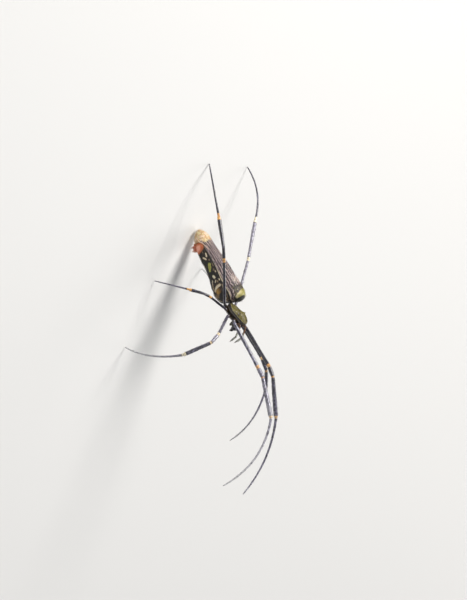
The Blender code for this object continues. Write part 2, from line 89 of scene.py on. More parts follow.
stage = {
    "distance": 1.5,
    "elevation": 21.0,
    "imageTilt": 24.6,
    "lens": 200.0,
    "aim": (-0.001344, 0.0, -0.000264),  # from the waist to the middle of the picture
    "floorSize": 12.0,
    "floorColour": (0.66, 0.655, 0.64, 1),
    "floorCloud": 3.0,
    "worldColour": (0.93, 0.96, 1.0, 1),
    "worldStrength": 0.27,
}
# name: place from the waist, size, watts, colour
lamps = {
    "key": ((-1.2, -0.2, 0.95), 0.8, 36.0, (1.0, 0.98, 0.96)),
    "fill": ((0.7, -1.5, 0.9), 1.1, 5.0, (0.94, 0.97, 1.0)),
    "rim": ((-0.2, 1.3, 0.8), 0.8, 9.0, (1.0, 0.98, 0.96)),
}


def newMaterial(name):
    material = bpy.data.materials.new(name)
    material.use_nodes = True
    return material, material.node_tree


def finished(material, colour, roughness, height=None, depth=0.0, coat=0.0, coatRoughness=0.03):
    # the last nodes of every material; depth is the bump's, in mm
    tree = material.node_tree
    inputs = tree.nodes["Principled BSDF"].inputs
    link(tree, colour, inputs["Base Color"])
    link(tree, roughness, inputs["Roughness"])
    inputs["Coat Weight"].default_value = coat
    inputs["Coat Roughness"].default_value = coatRoughness
    if height is not None:
        bump = tree.nodes.new("ShaderNodeBump")
        bump.inputs["Distance"].default_value = depth * millimetre
        link(tree, height, bump.inputs["Height"])
        tree.links.new(bump.outputs["Normal"], inputs["Normal"])
    return material


def setStage():
    rise, tilt = math.radians(stage["elevation"]), math.radians(stage["imageTilt"])
    right = Vector((-math.sin(tilt), math.sin(rise) * math.cos(tilt), math.cos(rise) * math.cos(tilt)))
    up = Vector((-math.cos(tilt), -math.sin(rise) * math.sin(tilt), -math.cos(rise) * math.sin(tilt)))
    back = Vector((0, -math.cos(rise), math.sin(rise)))
    camera = bpy.data.objects.new("camera", bpy.data.cameras.new("camera"))
    bpy.context.scene.collection.objects.link(camera)
    camera.data.lens = stage["lens"]
    camera.data.sensor_width = 36
    camera.matrix_world = Matrix((right, up, back)).transposed().to_4x4()
    camera.location = waist + Vector(stage["aim"]) + back * stage["distance"]
    bpy.context.scene.camera = camera

    bpy.ops.object.select_all(action="DESELECT")
    bpy.ops.mesh.primitive_plane_add(size=stage["floorSize"])
    floor = bpy.context.object
    floor.name = "floor"
    material, tree = newMaterial("pale floor")
    noise = tree.nodes.new("ShaderNodeTexNoise")
    noise.inputs["Scale"].default_value = stage["floorCloud"]
    ramp = tree.nodes.new("ShaderNodeMixRGB")
    ramp.inputs["Color1"].default_value = stage["floorColour"]
    ramp.inputs["Color2"].default_value = [0.97 * part for part in stage["floorColour"][:3]] + [1]
    tree.links.new(noise.outputs["Fac"], ramp.inputs["Fac"])
    floor.data.materials.append(finished(material, ramp.outputs["Color"], 0.75))

    for name, (place, size, watts, colour) in lamps.items():
        data = bpy.data.lights.new(name, "AREA")
        data.size = size
        data.energy = watts
        data.color = colour
        lamp = bpy.data.objects.new(name, data)
        bpy.context.scene.collection.objects.link(lamp)
        lamp.location = waist + Vector(place)
        lamp.rotation_euler = (-Vector(place)).to_track_quat("-Z", "Y").to_euler()
    world = bpy.data.worlds.new("soft light")
    world.use_nodes = True
    world.node_tree.nodes["Background"].inputs["Color"].default_value = stage["worldColour"]
    world.node_tree.nodes["Background"].inputs["Strength"].default_value = stage["worldStrength"]
    bpy.context.scene.world = world
    bpy.context.scene.view_settings.view_transform = "Standard"


# Small tools for shapes

def valueAt(table, places, column=1):
    # smooth values between the rows of a table, by a cubic through the neighbouring rows
    rows = np.array(table, float)
    spots, values = rows[:, 0], rows[:, column]
    places = np.clip(np.asarray(places, float), spots[0], spots[-1])
    low = np.clip(np.searchsorted(spots, places, side="right") - 1, 0, len(rows) - 2)
    before, after = np.maximum(low - 1, 0), np.minimum(low + 2, len(rows) - 1)
    span = spots[low + 1] - spots[low]
    slopeLow = (values[low + 1] - values[before]) / (spots[low + 1] - spots[before]) * span
    slopeHigh = (values[after] - values[low]) / (spots[after] - spots[low]) * span
    t = (places - spots[low]) / span
    return (
        (2 * t**3 - 3 * t**2 + 1) * values[low]
        + (t**3 - 2 * t**2 + t) * slopeLow
        + (3 * t**2 - 2 * t**3) * values[low + 1]
        + (t**3 - t**2) * slopeHigh
    )


def stepBetween(low, high, values):
    t = np.clip((values - low) / (high - low), 0, 1)
    return t * t * (3 - 2 * t)


def bell(value):
    # 1 at 0, and falling off evenly on both sides
    return np.exp(-(value**2))


def readValues(items, key, width=1, kind=float):
    values = np.empty(len(items) * width, kind)
    items.foreach_get(key, values)
    return values.reshape(-1, width) if width > 1 else values


def readPoints(piece):
    return readValues(piece.data.vertices, "co", 3)


def insideBox(points):
    # nothing passes the box of the solid model
    low, high = (np.array(list(corner)) for corner in cadBox)
    return np.clip(points, low, high)


def writePoints(piece, points):
    piece.data.vertices.foreach_set("co", np.ascontiguousarray(points, np.float32).ravel())
    piece.data.update()


def setNumbers(piece, name, values):
    layer = piece.data.attributes.new(name, "FLOAT", "POINT")
    layer.data.foreach_set("value", np.ascontiguousarray(values, np.float32))


def moved(points, matrix):
    turn = np.array(matrix)
    return points @ turn[:3, :3].T + turn[:3, 3]


def selectOnly(pieces):
    bpy.ops.object.select_all(action="DESELECT")
    for piece in pieces:
        piece.select_set(True)
    bpy.context.view_layer.objects.active = pieces[0]


def joined(pieces, name):
    selectOnly(pieces)
    bpy.ops.object.join()
    whole = bpy.context.object
    whole.name = whole.data.name = name
    return whole


def outward(piece):
    # normals are made to point out once the shape is final
    selectOnly([piece])
    bpy.ops.object.mode_set(mode="EDIT")
    bpy.ops.mesh.select_all(action="SELECT")
    bpy.ops.mesh.normals_make_consistent(inside=False)
    bpy.ops.object.mode_set(mode="OBJECT")


def rideAs(piece, matrix, material):
    # into its place in the model, with its finish, and told to the frame
    writePoints(piece, insideBox(moved(readPoints(piece), matrix)))
    piece.data.materials.clear()
    piece.data.materials.append(material)
    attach(piece, "root")


def settle(piece, matrix, material, stands=(), smoothAngle=50):
    rideAs(piece, matrix, material)
    outward(piece)
    bpy.ops.object.shade_smooth_by_angle(angle=math.radians(smoothAngle))
    if stands:
        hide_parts(*stands)


def inOrder(piece):
    # operators number points and faces anew in each run, so here both are numbered by place
    mesh = piece.data
    points = readPoints(piece)
    order = np.lexsort(np.round(points, 4).T)
    rank = np.argsort(order).tolist()
    faces = []
    for face in mesh.polygons:
        corners = [rank[corner] for corner in face.vertices]
        loops = list(face.loop_indices)
        first = corners.index(min(corners))
        faces.append((corners[first:] + corners[:first], loops[first:] + loops[:first]))
    faces.sort()
    maps = readValues(mesh.uv_layers[0].data, "uv", 2)
    maps = maps[np.concatenate([loops for _, loops in faces])]
    ordered = bpy.data.meshes.new(piece.name)
    ordered.from_pydata(points[order], [], [corners for corners, _ in faces])
    ordered.uv_layers.new(name="UVMap").data.foreach_set("uv", maps.ravel())
    piece.data = ordered
    bpy.data.meshes.remove(mesh)
    ordered.name = piece.name


def drawnBall(name, sides, rings, place):
    # a ball whose points are moved by place(share from pole to pole, turn in degrees)
    bpy.ops.object.select_all(action="DESELECT")
    bpy.ops.mesh.primitive_uv_sphere_add(segments=sides, ring_count=rings, radius=1)
    piece = bpy.context.object
    piece.name = name
    inOrder(piece)
    points = readPoints(piece)
    share = np.arccos(np.clip(points[:, 2], -1, 1)) / math.pi
    turn = np.degrees(np.arctan2(points[:, 1], points[:, 0])) % 360
    writePoints(piece, place(share, turn))
    return piece, turn


def extrudedLimb(name, stations, sides, levels):
    # a straight limb along X, extruded ring by ring: place, half width, half height, lift
    bpy.ops.object.select_all(action="DESELECT")
    place, wide, tall, lift = stations[0]
    bpy.ops.mesh.primitive_circle_add(
        vertices=sides, radius=1, fill_type="NGON", location=(place, 0, lift), rotation=(0, math.pi / 2, 0)
    )
    limb = bpy.context.object
    limb.name = name
    bpy.ops.object.transform_apply(location=True, rotation=True, scale=True)
    bpy.ops.object.mode_set(mode="EDIT")
    bpy.ops.mesh.select_all(action="SELECT")
    bpy.ops.transform.resize(value=(1, wide, tall), center_override=(place, 0, lift))
    for before, here in zip(stations, stations[1:]):
        step = (here[0] - before[0], 0, here[3] - before[3])
        bpy.ops.mesh.extrude_region_move(TRANSFORM_OT_translate={"value": step})
        size = (1, here[1] / before[1], here[2] / before[2])
        bpy.ops.transform.resize(value=size, center_override=(here[0], 0, here[3]))
    bpy.ops.mesh.select_all(action="SELECT")
    bpy.ops.mesh.normals_make_consistent(inside=False)
    bpy.ops.object.mode_set(mode="OBJECT")
    inOrder(limb)
    finer = limb.modifiers.new("finer", "SUBSURF")
    finer.levels = finer.render_levels = levels
    bpy.ops.object.modifier_apply(modifier="finer")
    return limb


def wrapMap(piece, length):
    # the unwrap of a limb that still lies straight along X, seam underneath
    points = readPoints(piece)
    mesh = piece.data
    owners = readValues(mesh.loops, "vertex_index", kind=int)
    starts = readValues(mesh.polygons, "loop_start", kind=int)
    totals = readValues(mesh.polygons, "loop_total", kind=int)
    around = np.arctan2(points[:, 1], points[:, 2]) / (2 * math.pi) + 0.5
    across = around[owners]
    firsts = np.repeat(across[starts], totals)
    across = across + (firsts - across > 0.5) - (across - firsts > 0.5)
    along = points[owners, 0] / length
    mesh.uv_layers[0].data.foreach_set("uv", np.stack([across, along], 1).ravel())


def curve(start, corner, end, steps):
    shares = [k / steps for k in range(steps + 1)]
    return [start.lerp(corner, share).lerp(corner.lerp(end, share), share) for share in shares]


def smoothLine(points, reach, steps=8):
    # a line of points with each inner corner turned into an arc that starts reach before it
    line, corners = [points[0]], []
    for before, corner, after in zip(points, points[1:], points[2:]):
        shareIn = min(reach / (corner - before).length, 0.48)
        shareOut = min(reach / (after - corner).length, 0.48)
        start, end = corner.lerp(before, shareIn), corner.lerp(after, shareOut)
        corners.append(len(line) + steps // 2)
        line += curve(start, corner, end, steps)
    line.append(points[-1])
    return line, corners


def reaches(line):
    steps = [0.0] + [(after - before).length for before, after in zip(line, line[1:])]
    return np.cumsum(steps)


def bendAlong(points, line, dorsal, start):
    # lays a straight limb along a line; dorsal is the way its top points at the line's point number start
    spots = np.array([tuple(point) for point in line])
    reach = reaches(line)
    ways = np.gradient(spots, reach, axis=0)
    ways /= np.linalg.norm(ways, axis=1)[:, None]
    tops = np.zeros_like(ways)
    tops[start] = dorsal - ways[start] * np.dot(dorsal, ways[start])
    tops[start] /= np.linalg.norm(tops[start])
    order = [(k, k - 1) for k in range(start + 1, len(line))]
    order += [(k, k + 1) for k in range(start - 1, -1, -1)]
    for here, nearer in order:
        top = tops[nearer] - ways[here] * np.dot(tops[nearer], ways[here])
        tops[here] = top / np.linalg.norm(top)
    lefts = np.cross(tops, ways)

    def along(values, x):
        return np.stack([np.interp(x, reach, values[:, axis]) for axis in range(3)], 1)

    x = points[:, 0]
    inside = np.clip(x, 0, reach[-1])
    way = along(ways, inside)
    way /= np.linalg.norm(way, axis=1)[:, None]
    return (
        along(spots, inside)
        + way * (x - inside)[:, None]
        + along(lefts, inside) * points[:, 1:2]
        + along(tops, inside) * points[:, 2:3]
    )


# Hair and spines: thin tapered prisms, rooted in the skin

# shortest, longest, thickness in mm; lean from the skin, bend toward the tip in degrees; tousle
hairLooks = {
    "abdomen": (0.35, 0.8, 0.034, 22, -14, 0.22),
    "abdomenLong": (0.8, 1.5, 0.036, 42, -24, 0.25),
    "spinneret": (0.2, 0.45, 0.03, 30, -15, 0.15),
    "carapace": (0.28, 0.55, 0.03, 20, -14, 0.22),
    "brow": (0.7, 1.2, 0.045, 58, -30, 0.2),
    "jaw": (0.35, 0.8, 0.035, 38, -18, 0.2),
    "feeler": (0.3, 0.65, 0.032, 30, -14, 0.18),
    "bodyWall": (0.5, 1.1, 0.034, 45, -25, 0.35),
    "sternum": (0.4, 0.8, 0.032, 45, -25, 0.3),
    "leg": (0.28, 0.6, 0.03, 20, -12, 0.12),
    "spine": (0.7, 1.2, 0.07, 38, -10, 0.06),
}
# where each coat's random numbers start
seeds = {
    "abdomen": 11,
    "abdomenPlanted": 14,
    "abdomenLong": 17,
    "spinneret": 20,
    "spinneretPlanted": 30,
    "carapace": 41,
    "brow": 43,
    "jaw": 51,
    "feeler": 53,
    "sternum": 61,
    "bodyWall": 65,
    "spine": 70,
    "leg": 80,
    "legPlanted": 90,
    "spinePlanted": 100,
}
hairShape = {
    "leanSpread": 6,
    "sink": 0.03,  # how deep each root starts, in mm
    "taper": 1.5,
    "patch": 0.003,  # the side of each hair's patch in the map
}


def plantHairs(name, roots, look, seed, sides=3, steps=2):
    # roots: points, normals, lies, maps and numbers, all in millimetres
    shortest, longest, thickness, leaning, bending, tousle = hairLooks[look]
    rng = np.random.default_rng(seed)
    points, normals, lies = roots["points"], roots["normals"], roots["lies"]
    count = len(points)
    lies = lies + rng.normal(0, tousle, (count, 3))
    lies -= normals * np.sum(lies * normals, 1)[:, None]
    lies /= np.linalg.norm(lies, axis=1)[:, None] + 1e-9
    lengths = rng.uniform(shortest, longest, count) * roots["size"]
    lean = np.radians(leaning + rng.normal(0, hairShape["leanSpread"], count))
    bend = np.radians(bending)
    across = np.cross(normals, lies)
    spots = points - normals * hairShape["sink"]
    rings = []
    for step in range(steps + 1):
        share = step / steps
        angle = lean + bend * share
        way = lies * np.cos(angle)[:, None] + normals * np.sin(angle)[:, None]
        if step:
            spots = spots + way * (lengths / steps)[:, None]
        if step == steps:
            rings.append(spots[:, None, :])
            break
        upright = normals * np.cos(angle)[:, None] - lies * np.sin(angle)[:, None]
        radius = thickness / 2 * (1 - share ** hairShape["taper"])
        turns = (2 * math.pi * np.arange(sides) / sides + math.pi / 2)[None, :, None]
        ring = across[:, None, :] * np.cos(turns) + upright[:, None, :] * np.sin(turns)
        rings.append(spots[:, None, :] + ring * radius)
    vertices = np.concatenate(rings, 1)
    perHair = vertices.shape[1]
    loops, totals, spans = [], [], []
    for step in range(steps - 1):
        for side in range(sides):
            after = (side + 1) % sides
            base, above = step * sides, (step + 1) * sides
            loops += [base + side, base + after, above + after, above + side]
            spans += [(side, step), (side + 1, step), (side + 1, step + 1), (side, step + 1)]
            totals.append(4)
    base, tip = (steps - 1) * sides, steps * sides
    for side in range(sides):
        loops += [base + side, base + (side + 1) % sides, tip]
        spans += [(side, steps - 1), (side + 1, steps - 1), (side + 0.5, steps)]
        totals.append(3)
    loops += list(range(sides))[::-1]
    spans += [(side, 0) for side in range(sides)][::-1]
    totals.append(sides)
    starts = np.concatenate([[0], np.cumsum(totals)[:-1]])
    mesh = bpy.data.meshes.new(name)
    mesh.vertices.add(count * perHair)
    mesh.vertices.foreach_set("co", vertices.astype(np.float32).ravel())
    allLoops = (np.array(loops)[None, :] + perHair * np.arange(count)[:, None]).ravel()
    mesh.loops.add(len(allLoops))
    mesh.loops.foreach_set("vertex_index", allLoops.astype(np.int32))
    mesh.polygons.add(count * len(totals))
    allStarts = (starts[None, :] + len(loops) * np.arange(count)[:, None]).ravel()
    mesh.polygons.foreach_set("loop_start", allStarts.astype(np.int32))
    mesh.polygons.foreach_set("loop_total", np.tile(totals, count).astype(np.int32))
    mesh.update(calc_edges=True)
    mesh.validate()
    piece = bpy.data.objects.new(name, mesh)
    bpy.context.scene.collection.objects.link(piece)
    patch = np.array(spans, float) / (sides, steps) - 0.5
    maps = np.clip(roots["maps"][:, None, :] + patch[None, :, :] * hairShape["patch"], 0.0005, 0.9995)
    layer = mesh.uv_layers.new(name="OFBake")
    layer.data.foreach_set("uv", maps.astype(np.float32).ravel())
    for word, values in roots.get("numbers", {}).items():
        setNumbers(piece, word, np.repeat(values, perHair))
    tips = np.concatenate([np.full(sides, step / steps) for step in range(steps)] + [[1.0]])
    setNumbers(piece, "tip", np.tile(tips, count))
    setNumbers(piece, "chance", np.repeat(rng.random(count), perHair))
    return piece


def everywhere(piece, value=0.0):
    return np.full(len(piece.data.vertices), value)


def rootsOn(skin, lies, density, seed, size=None, numbers=()):
    # random roots over a skin, density per square millimetre at each of its points;
    # lies is the way that hair points, one for the whole skin or one at each point
    mesh = skin.data
    mesh.calc_loop_triangles()
    points = readPoints(skin)
    normals = readValues(mesh.vertices, "normal", 3)
    corners = readValues(mesh.loop_triangles, "vertices", 3, int)
    loops = readValues(mesh.loop_triangles, "loops", 3, int)
    maps = readValues(mesh.uv_layers[0].data, "uv", 2)
    a, b, c = (points[corners[:, k]] for k in range(3))
    areas = np.linalg.norm(np.cross(b - a, c - a), axis=1) / 2
    wanted = areas * density[corners].mean(1)
    rng = np.random.default_rng(seed)
    count = int(wanted.sum())
    pick = rng.choice(len(areas), count, p=wanted / wanted.sum())
    first, second = np.sqrt(rng.random(count)), rng.random(count)
    weights = np.stack([1 - first, first * (1 - second), first * second], 1)

    def mixed(values, owners):
        return np.einsum("ij,ij...->i...", weights, values[owners[pick]])

    normal = mixed(normals, corners)
    normal /= np.linalg.norm(normal, axis=1)[:, None]
    found = {
        "points": mixed(points, corners),
        "normals": normal,
        "lies": mixed(np.broadcast_to(np.array(lies, float), points.shape), corners),
        "maps": mixed(maps, loops),
        "size": 1.0 if size is None else mixed(size, corners),
        "numbers": {},
    }
    for word in numbers:
        found["numbers"][word] = mixed(readValues(mesh.attributes[word].data, "value"), corners)
    return found


def coatOn(skin, name, lies, density, look, size=None, numbers=()):
    roots = rootsOn(skin, lies, density, seeds[look], size, numbers)
    return plantHairs(name, roots, look, seeds[look] + 1)


def settleHairs(piece, matrix, material):
    # hair faces out as made
    rideAs(piece, matrix, material)
    piece.data.shade_smooth()
    print("hair", piece.name, len(piece.data.polygons), "faces")


# Small tools for materials

def link(tree, source, target):
    # a number, a colour, the name of an attribute, or another node's socket
    if isinstance(source, (int, float)):
        target.default_value = source
    elif isinstance(source, tuple):
        target.default_value = (*source, 1)
    elif isinstance(source, str):
        tree.links.new(numberNode(tree, source), target)
    else:
        tree.links.new(source, target)


def mathNode(tree, operation, *values):
    node = tree.nodes.new("ShaderNodeMath")
    node.operation = operation
    for value, socket in zip(values, node.inputs):
        link(tree, value, socket)
    return node.outputs[0]


def timesNode(tree, *values):
    return mathNode(tree, "MULTIPLY", *values)


def timesPlusNode(tree, *values):
    return mathNode(tree, "MULTIPLY_ADD", *values)


def mixNode(tree, mask, first, second):
    node = tree.nodes.new("ShaderNodeMixRGB")
    link(tree, mask, node.inputs["Fac"])
    link(tree, first, node.inputs["Color1"])
    link(tree, second, node.inputs["Color2"])
    return node.outputs["Color"]


def spanNode(tree, value, low, high, toLow=0.0, toHigh=1.0):
    node = tree.nodes.new("ShaderNodeMapRange")
    node.interpolation_type = "SMOOTHSTEP"
    link(tree, value, node.inputs["Value"])
    ends = {"From Min": low, "From Max": high, "To Min": toLow, "To Max": toHigh}
    for name, number in ends.items():
        link(tree, number, node.inputs[name])
    return node.outputs["Result"]


def fadeNode(tree, value, low, high, first, second):
    # from the first colour to the second as the value goes from low to high
    return mixNode(tree, spanNode(tree, value, low, high), first, second)


def numberNode(tree, name):
    node = tree.nodes.new("ShaderNodeAttribute")
    node.attribute_name = name
    return node.outputs["Fac"]


def noiseNode(tree, scale, detail=3.0, roughness=0.55, vector=None, stretch=(1, 1, 1)):
    node = tree.nodes.new("ShaderNodeTexNoise")
    node.inputs["Scale"].default_value = 1.0
    node.inputs["Detail"].default_value = detail
    node.inputs["Roughness"].default_value = roughness
    if vector is None:
        vector = tree.nodes.new("ShaderNodeTexCoord").outputs["Object"]
    turner = tree.nodes.new("ShaderNodeMapping")
    tree.links.new(vector, turner.inputs["Vector"])
    turner.inputs["Scale"].default_value = tuple(scale * part for part in stretch)
    tree.links.new(turner.outputs["Vector"], node.inputs["Vector"])
    return node.outputs["Fac"]


def newGroup(name, inputs, outputs):
    group = bpy.data.node_groups.new(name, "ShaderNodeTree")
    for word, kind, value in inputs:
        socket = group.interface.new_socket(word, in_out="INPUT", socket_type="NodeSocket" + kind)
        socket.default_value = (*value, 1) if kind == "Color" else value
    for word, kind in outputs:
        group.interface.new_socket(word, in_out="OUTPUT", socket_type="NodeSocket" + kind)
    return group, group.nodes.new("NodeGroupInput").outputs, group.nodes.new("NodeGroupOutput").inputs


def placeGroup(tree, group, **values):
    node = tree.nodes.new("ShaderNodeGroup")
    node.node_tree = group
    for name, value in values.items():
        link(tree, value, node.inputs[name])
    return node.outputs


def makeCuticleGroup():
    # chitin: a faint mottle, polished and duller patches, and fine pores for the bump
    group, given, out = newGroup(
        "cuticle",
        [
            ("Dark", "Color", (0.01, 0.01, 0.012)),
            ("Light", "Color", (0.03, 0.03, 0.04)),
            ("Gloss", "Float", 0.3),
        ],
        [("Color", "Color"), ("Roughness", "Float"), ("Height", "Float")],
    )
    cloud = noiseNode(group, 900, 4)
    fine = noiseNode(group, 9000, 3, 0.65)
    patch = spanNode(group, cloud, 0.38, 0.66)
    link(group, mixNode(group, patch, given["Dark"], given["Light"]), out["Color"])
    smoothest = mathNode(group, "SUBTRACT", given["Gloss"], 0.1)
    link(group, timesPlusNode(group, fine, 0.22, smoothest), out["Roughness"])
    link(group, timesPlusNode(group, cloud, 0.5, fine), out["Height"])
    return group


def chitinMaterial(name, dark, light, gloss, coat=0.0, bump=0.012):
    material, tree = newMaterial(name)
    cuticle = placeGroup(tree, cuticleGroup, Dark=dark, Light=light, Gloss=gloss)
    return finished(material, cuticle["Color"], cuticle["Roughness"], cuticle["Height"], bump, coat, 0.12)


def hairMaterial(name, rootColour, tipColour, gloss):
    # hair that pales toward its tip, some hairs lighter than others
    material, tree = newMaterial(name)
    shade = mixNode(tree, "tip", rootColour, tipColour)
    varied = mixNode(tree, spanNode(tree, "chance", 0.0, 1.0, 0.0, 0.6), shade, tipColour)
    return finished(material, varied, gloss)


setStage()
cuticleGroup = makeCuticleGroup()
print("stage set")


# Abdomen

abdomen = {
    # place from the tail, back, belly, half width
    "profile": (
        (0.0, 0.8, -2.2, 1.8), (1.2, 1.6, -3.2, 2.7), (3.2, 2.6, -4.4, 3.6), (7.0, 3.1, -5.2, 4.4),
        (13.0, 4.1, -5.3, 5.2), (20.0, 5.5, -5.0, 5.8), (26.0, 6.2, -5.8, 6.15),
        (31.0, 7.0, -6.2, 6.2), (34.5, 7.3, -5.2, 5.8), (35.6, 7.1, -3.8, 5.3),
        (36.4, 6.8, -1.4, 4.7), (37.2, 6.1, 0.9, 3.6),
    ),
    # each end: its place, its height, where the even rings start, and their share of all rings
    "tail": (-0.6, -0.7, 1.2, 0.07),
    "front": (38.3, 3.5, 37.2, 0.9),
    "sides": 144,
    "rings": 210,
    "coatDepth": 0.06,
    # the pale side line: place, degrees round from the back's middle
    "sideLine": (
        (2.0, 112.0), (5.0, 88.0), (8.0, 77.0), (10.5, 73.5), (14.0, 72.5), (18.9, 75.0),
        (30.3, 76.0), (32.4, 76.0), (34.5, 79.5), (36.0, 94.0), (36.9, 138.0), (37.4, 160.0),
    ),
    # the band over the front edge: degrees, place, half width
    "frontBand": (
        (0.0, 35.2, 1.5), (25.0, 35.8, 1.25), (47.0, 36.5, 0.8), (68.0, 36.9, 0.5),
        (86.0, 37.2, 0.15), (100.0, 37.3, -0.6), (180.0, 37.3, -0.6),
    ),
    # round the spinnerets: place, degrees, the body's radius, half length, half width, depth
    "redPatch": (8.2, 128, 4.8, 2.8, 4.6, 2.7),
    "dimples": (8.5, 13.0, 17.5, 22.5, 27.5),
    "dimpleTurn": 22.0,
}
# marks on each flank: half width in mm, then the places and degrees that they run through
marks = {
    "cream": (
        (0.33, (12.4, 87.5), (13.9, 92.5)),
        (0.42, (13.6, 116.0), (14.9, 104.0)),
        (0.22, (15.9, 88.6), (16.1, 88.8)),
        (0.27, (22.1, 87.2), (22.4, 88.0)),
        (0.60, (23.9, 106.4), (24.5, 104.0)),
        (0.30, (26.5, 85.1), (26.7, 85.4)),
        (0.26, (26.0, 102.5), (26.8, 107.9)),
        (0.62, (28.9, 94.5), (28.9, 102.9), (29.1, 110.0)),
        (0.45, (29.1, 110.0), (29.5, 121.8), (30.1, 130.3)),
        (0.42, (30.2, 160.0), (30.5, 162.0)),
        (0.24, (25.3, 122.3), (26.9, 128.6), (28.5, 136.2), (29.5, 147.0)),
        (0.17, (34.3, 101.0), (34.7, 108.0), (35.7, 122.9), (36.2, 150.0)),
        (0.10, (34.3, 101.0), (35.4, 106.0), (36.2, 120.0)),
        (0.20, (32.0, 154.0), (33.6, 151.0), (35.2, 146.0)),
        (0.36, (11.9, 150.0), (12.9, 156.0)),
        (0.40, (16.5, 148.0), (17.4, 156.0)),
        (0.42, (21.4, 150.0), (22.2, 158.0)),
        (0.26, (14.2, 172.0), (14.2, 188.0)),
        (0.30, (19.2, 170.0), (19.2, 190.0)),
        (0.30, (24.4, 168.0), (24.4, 192.0)),
    ),
    "dull": (
        (0.30, (26.8, 95.0), (27.0, 97.0)),
        (0.20, (18.0, 84.5), (19.5, 86.0)),
        (0.13, (32.6, 87.5), (34.7, 90.7), (35.8, 104.0)),
        (0.22, (20.9, 90.0), (21.3, 96.0)),
        (0.24, (29.2, 84.0), (30.6, 86.0)),
        (0.16, (10.9, 100.0), (11.9, 104.0)),
    ),
    "green": ((0.8, (17.9, 100.5), (20.4, 115.5)),),
    "cover": ((1.15, (30.9, 103.0), (31.2, 116.0)),),
    "tan": ((0.75, (31.9, 122.0), (32.9, 134.0), (32.4, 144.0)),),
    "rim": (
        (
            0.16,
            (3.2, 108.0), (4.6, 100.0), (6.2, 92.0), (6.7, 81.4), (8.0, 72.8), (9.6, 65.6), (11.0, 60.5),
        ),
    ),
}


def abdomenPlace(share, turn):
    # rings crowd round the two blunt ends
    tailPlace, tailHeight, tailEnd, tailShare = abdomen["tail"]
    frontPlace, frontHeight, frontEnd, frontShare = abdomen["front"]
    place = np.interp(share, [tailShare, frontShare], [tailEnd, frontEnd])
    scale = np.ones_like(share)
    tail = share < tailShare
    scale[tail] = share[tail] / tailShare
    place[tail] = tailPlace + (tailEnd - tailPlace) * scale[tail] ** 2
    front = share > frontShare
    scale[front] = (1 - share[front]) / (1 - frontShare)
    place[front] = frontPlace - (frontPlace - frontEnd) * scale[front] ** 2
    at = np.clip(place, tailEnd, frontEnd)
    back, belly, half = (valueAt(abdomen["profile"], at, column) for column in (1, 2, 3))
    middle, tall = (back + belly) / 2, (back - belly) / 2
    middle = np.where(tail, tailHeight + (middle - tailHeight) * scale, middle)
    middle = np.where(front, frontHeight + (middle - frontHeight) * scale, middle)
    depth = abdomen["coatDepth"]
    angle = np.radians(turn)
    y = np.maximum(half * scale - depth, 0) * np.sin(angle)
    z = middle + np.maximum(tall * scale - depth, 0) * np.cos(angle)
    return np.stack([place, y, z], 1)


def markDepth(rows, place, turn, radius):
    # how deep each point lies inside the nearest of these marks, in mm
    best = np.full(len(place), -5.0)
    for half, *spots in rows:
        for (fromPlace, fromTurn), (toPlace, toTurn) in zip(spots, spots[1:]):
            scale = np.radians(1) * np.interp((fromPlace + toPlace) / 2, *radius)
            gap = np.stack([place - fromPlace, (turn - fromTurn) * scale], 1)
            way = np.array([toPlace - fromPlace, (toTurn - fromTurn) * scale])
            share = np.clip(gap @ way / max(way @ way, 1e-6), 0, 1)
            best = np.maximum(best, half - np.linalg.norm(gap - share[:, None] * way, axis=1))
    return best


def shapeAbdomen(points, place, side):
    # dimples along the back, folds on the flanks, the furrow and lung covers below
    middle = np.stack([place, np.zeros_like(place), np.full_like(place, -0.3)], 1)
    out = points - middle
    out[:, 0] = 0
    out /= np.linalg.norm(out, axis=1)[:, None] + 1e-6
    push = np.zeros_like(place)
    for spot in abdomen["dimples"]:
        far = np.hypot(place - spot, (side - abdomen["dimpleTurn"]) * 0.095)
        push -= 0.16 * bell(far / 0.34)
    flank = stepBetween(60, 90, side) * stepBetween(175, 150, side)
    folds = 0.05 * np.sin(place * 2.4 + 1.3 * np.sin(side * 0.07))
    folds += 0.06 * np.sin(place * 1.05 + side * 0.03)
    inner = stepBetween(1.0, 5.0, place) * stepBetween(36.5, 33.0, place)
    push += folds * flank * inner
    lines = np.cos(side * 0.36) * 0.025 * stepBetween(95, 70, side)
    push += lines * inner
    furrow = bell((place - 28.9) / 0.3) * stepBetween(118, 140, side)
    push -= 0.2 * furrow
    cover = stepBetween(-0.15, 0.35, markDepth(marks["cover"], place, side, abdomenRadius))
    ridges = 0.03 * np.sin((place + side * 0.11) * 9.0)
    push += cover * (0.14 + ridges)
    plate = np.exp(-(((place - 30.4) / 0.9) ** 2) - (((side - 180) / 13.0) ** 2))
    push += 0.35 * plate
    return points + out * push[:, None]


def lineNode(tree, across, along, count, wobble, level, soft):
    # long pale lines that waver, branch and break, along a body part
    vector = tree.nodes.new("ShaderNodeCombineXYZ")
    link(tree, across, vector.inputs["X"])
    link(tree, along, vector.inputs["Y"])
    drift = noiseNode(tree, 1.0, 2, 0.5, vector.outputs["Vector"], (3.4, 0.42, 1))
    small = noiseNode(tree, 760, 2, 0.6)
    shift = timesPlusNode(tree, drift, wobble, timesNode(tree, small, wobble * 0.7))
    phase = timesPlusNode(tree, across, count, shift)
    wave = mathNode(tree, "COSINE", timesNode(tree, phase, 2 * math.pi))
    gap = timesPlusNode(tree, noiseNode(tree, 1500, 3, 0.6), -2.6, 1.3)
    return spanNode(tree, mathNode(tree, "ADD", wave, gap), level - soft, level + soft)


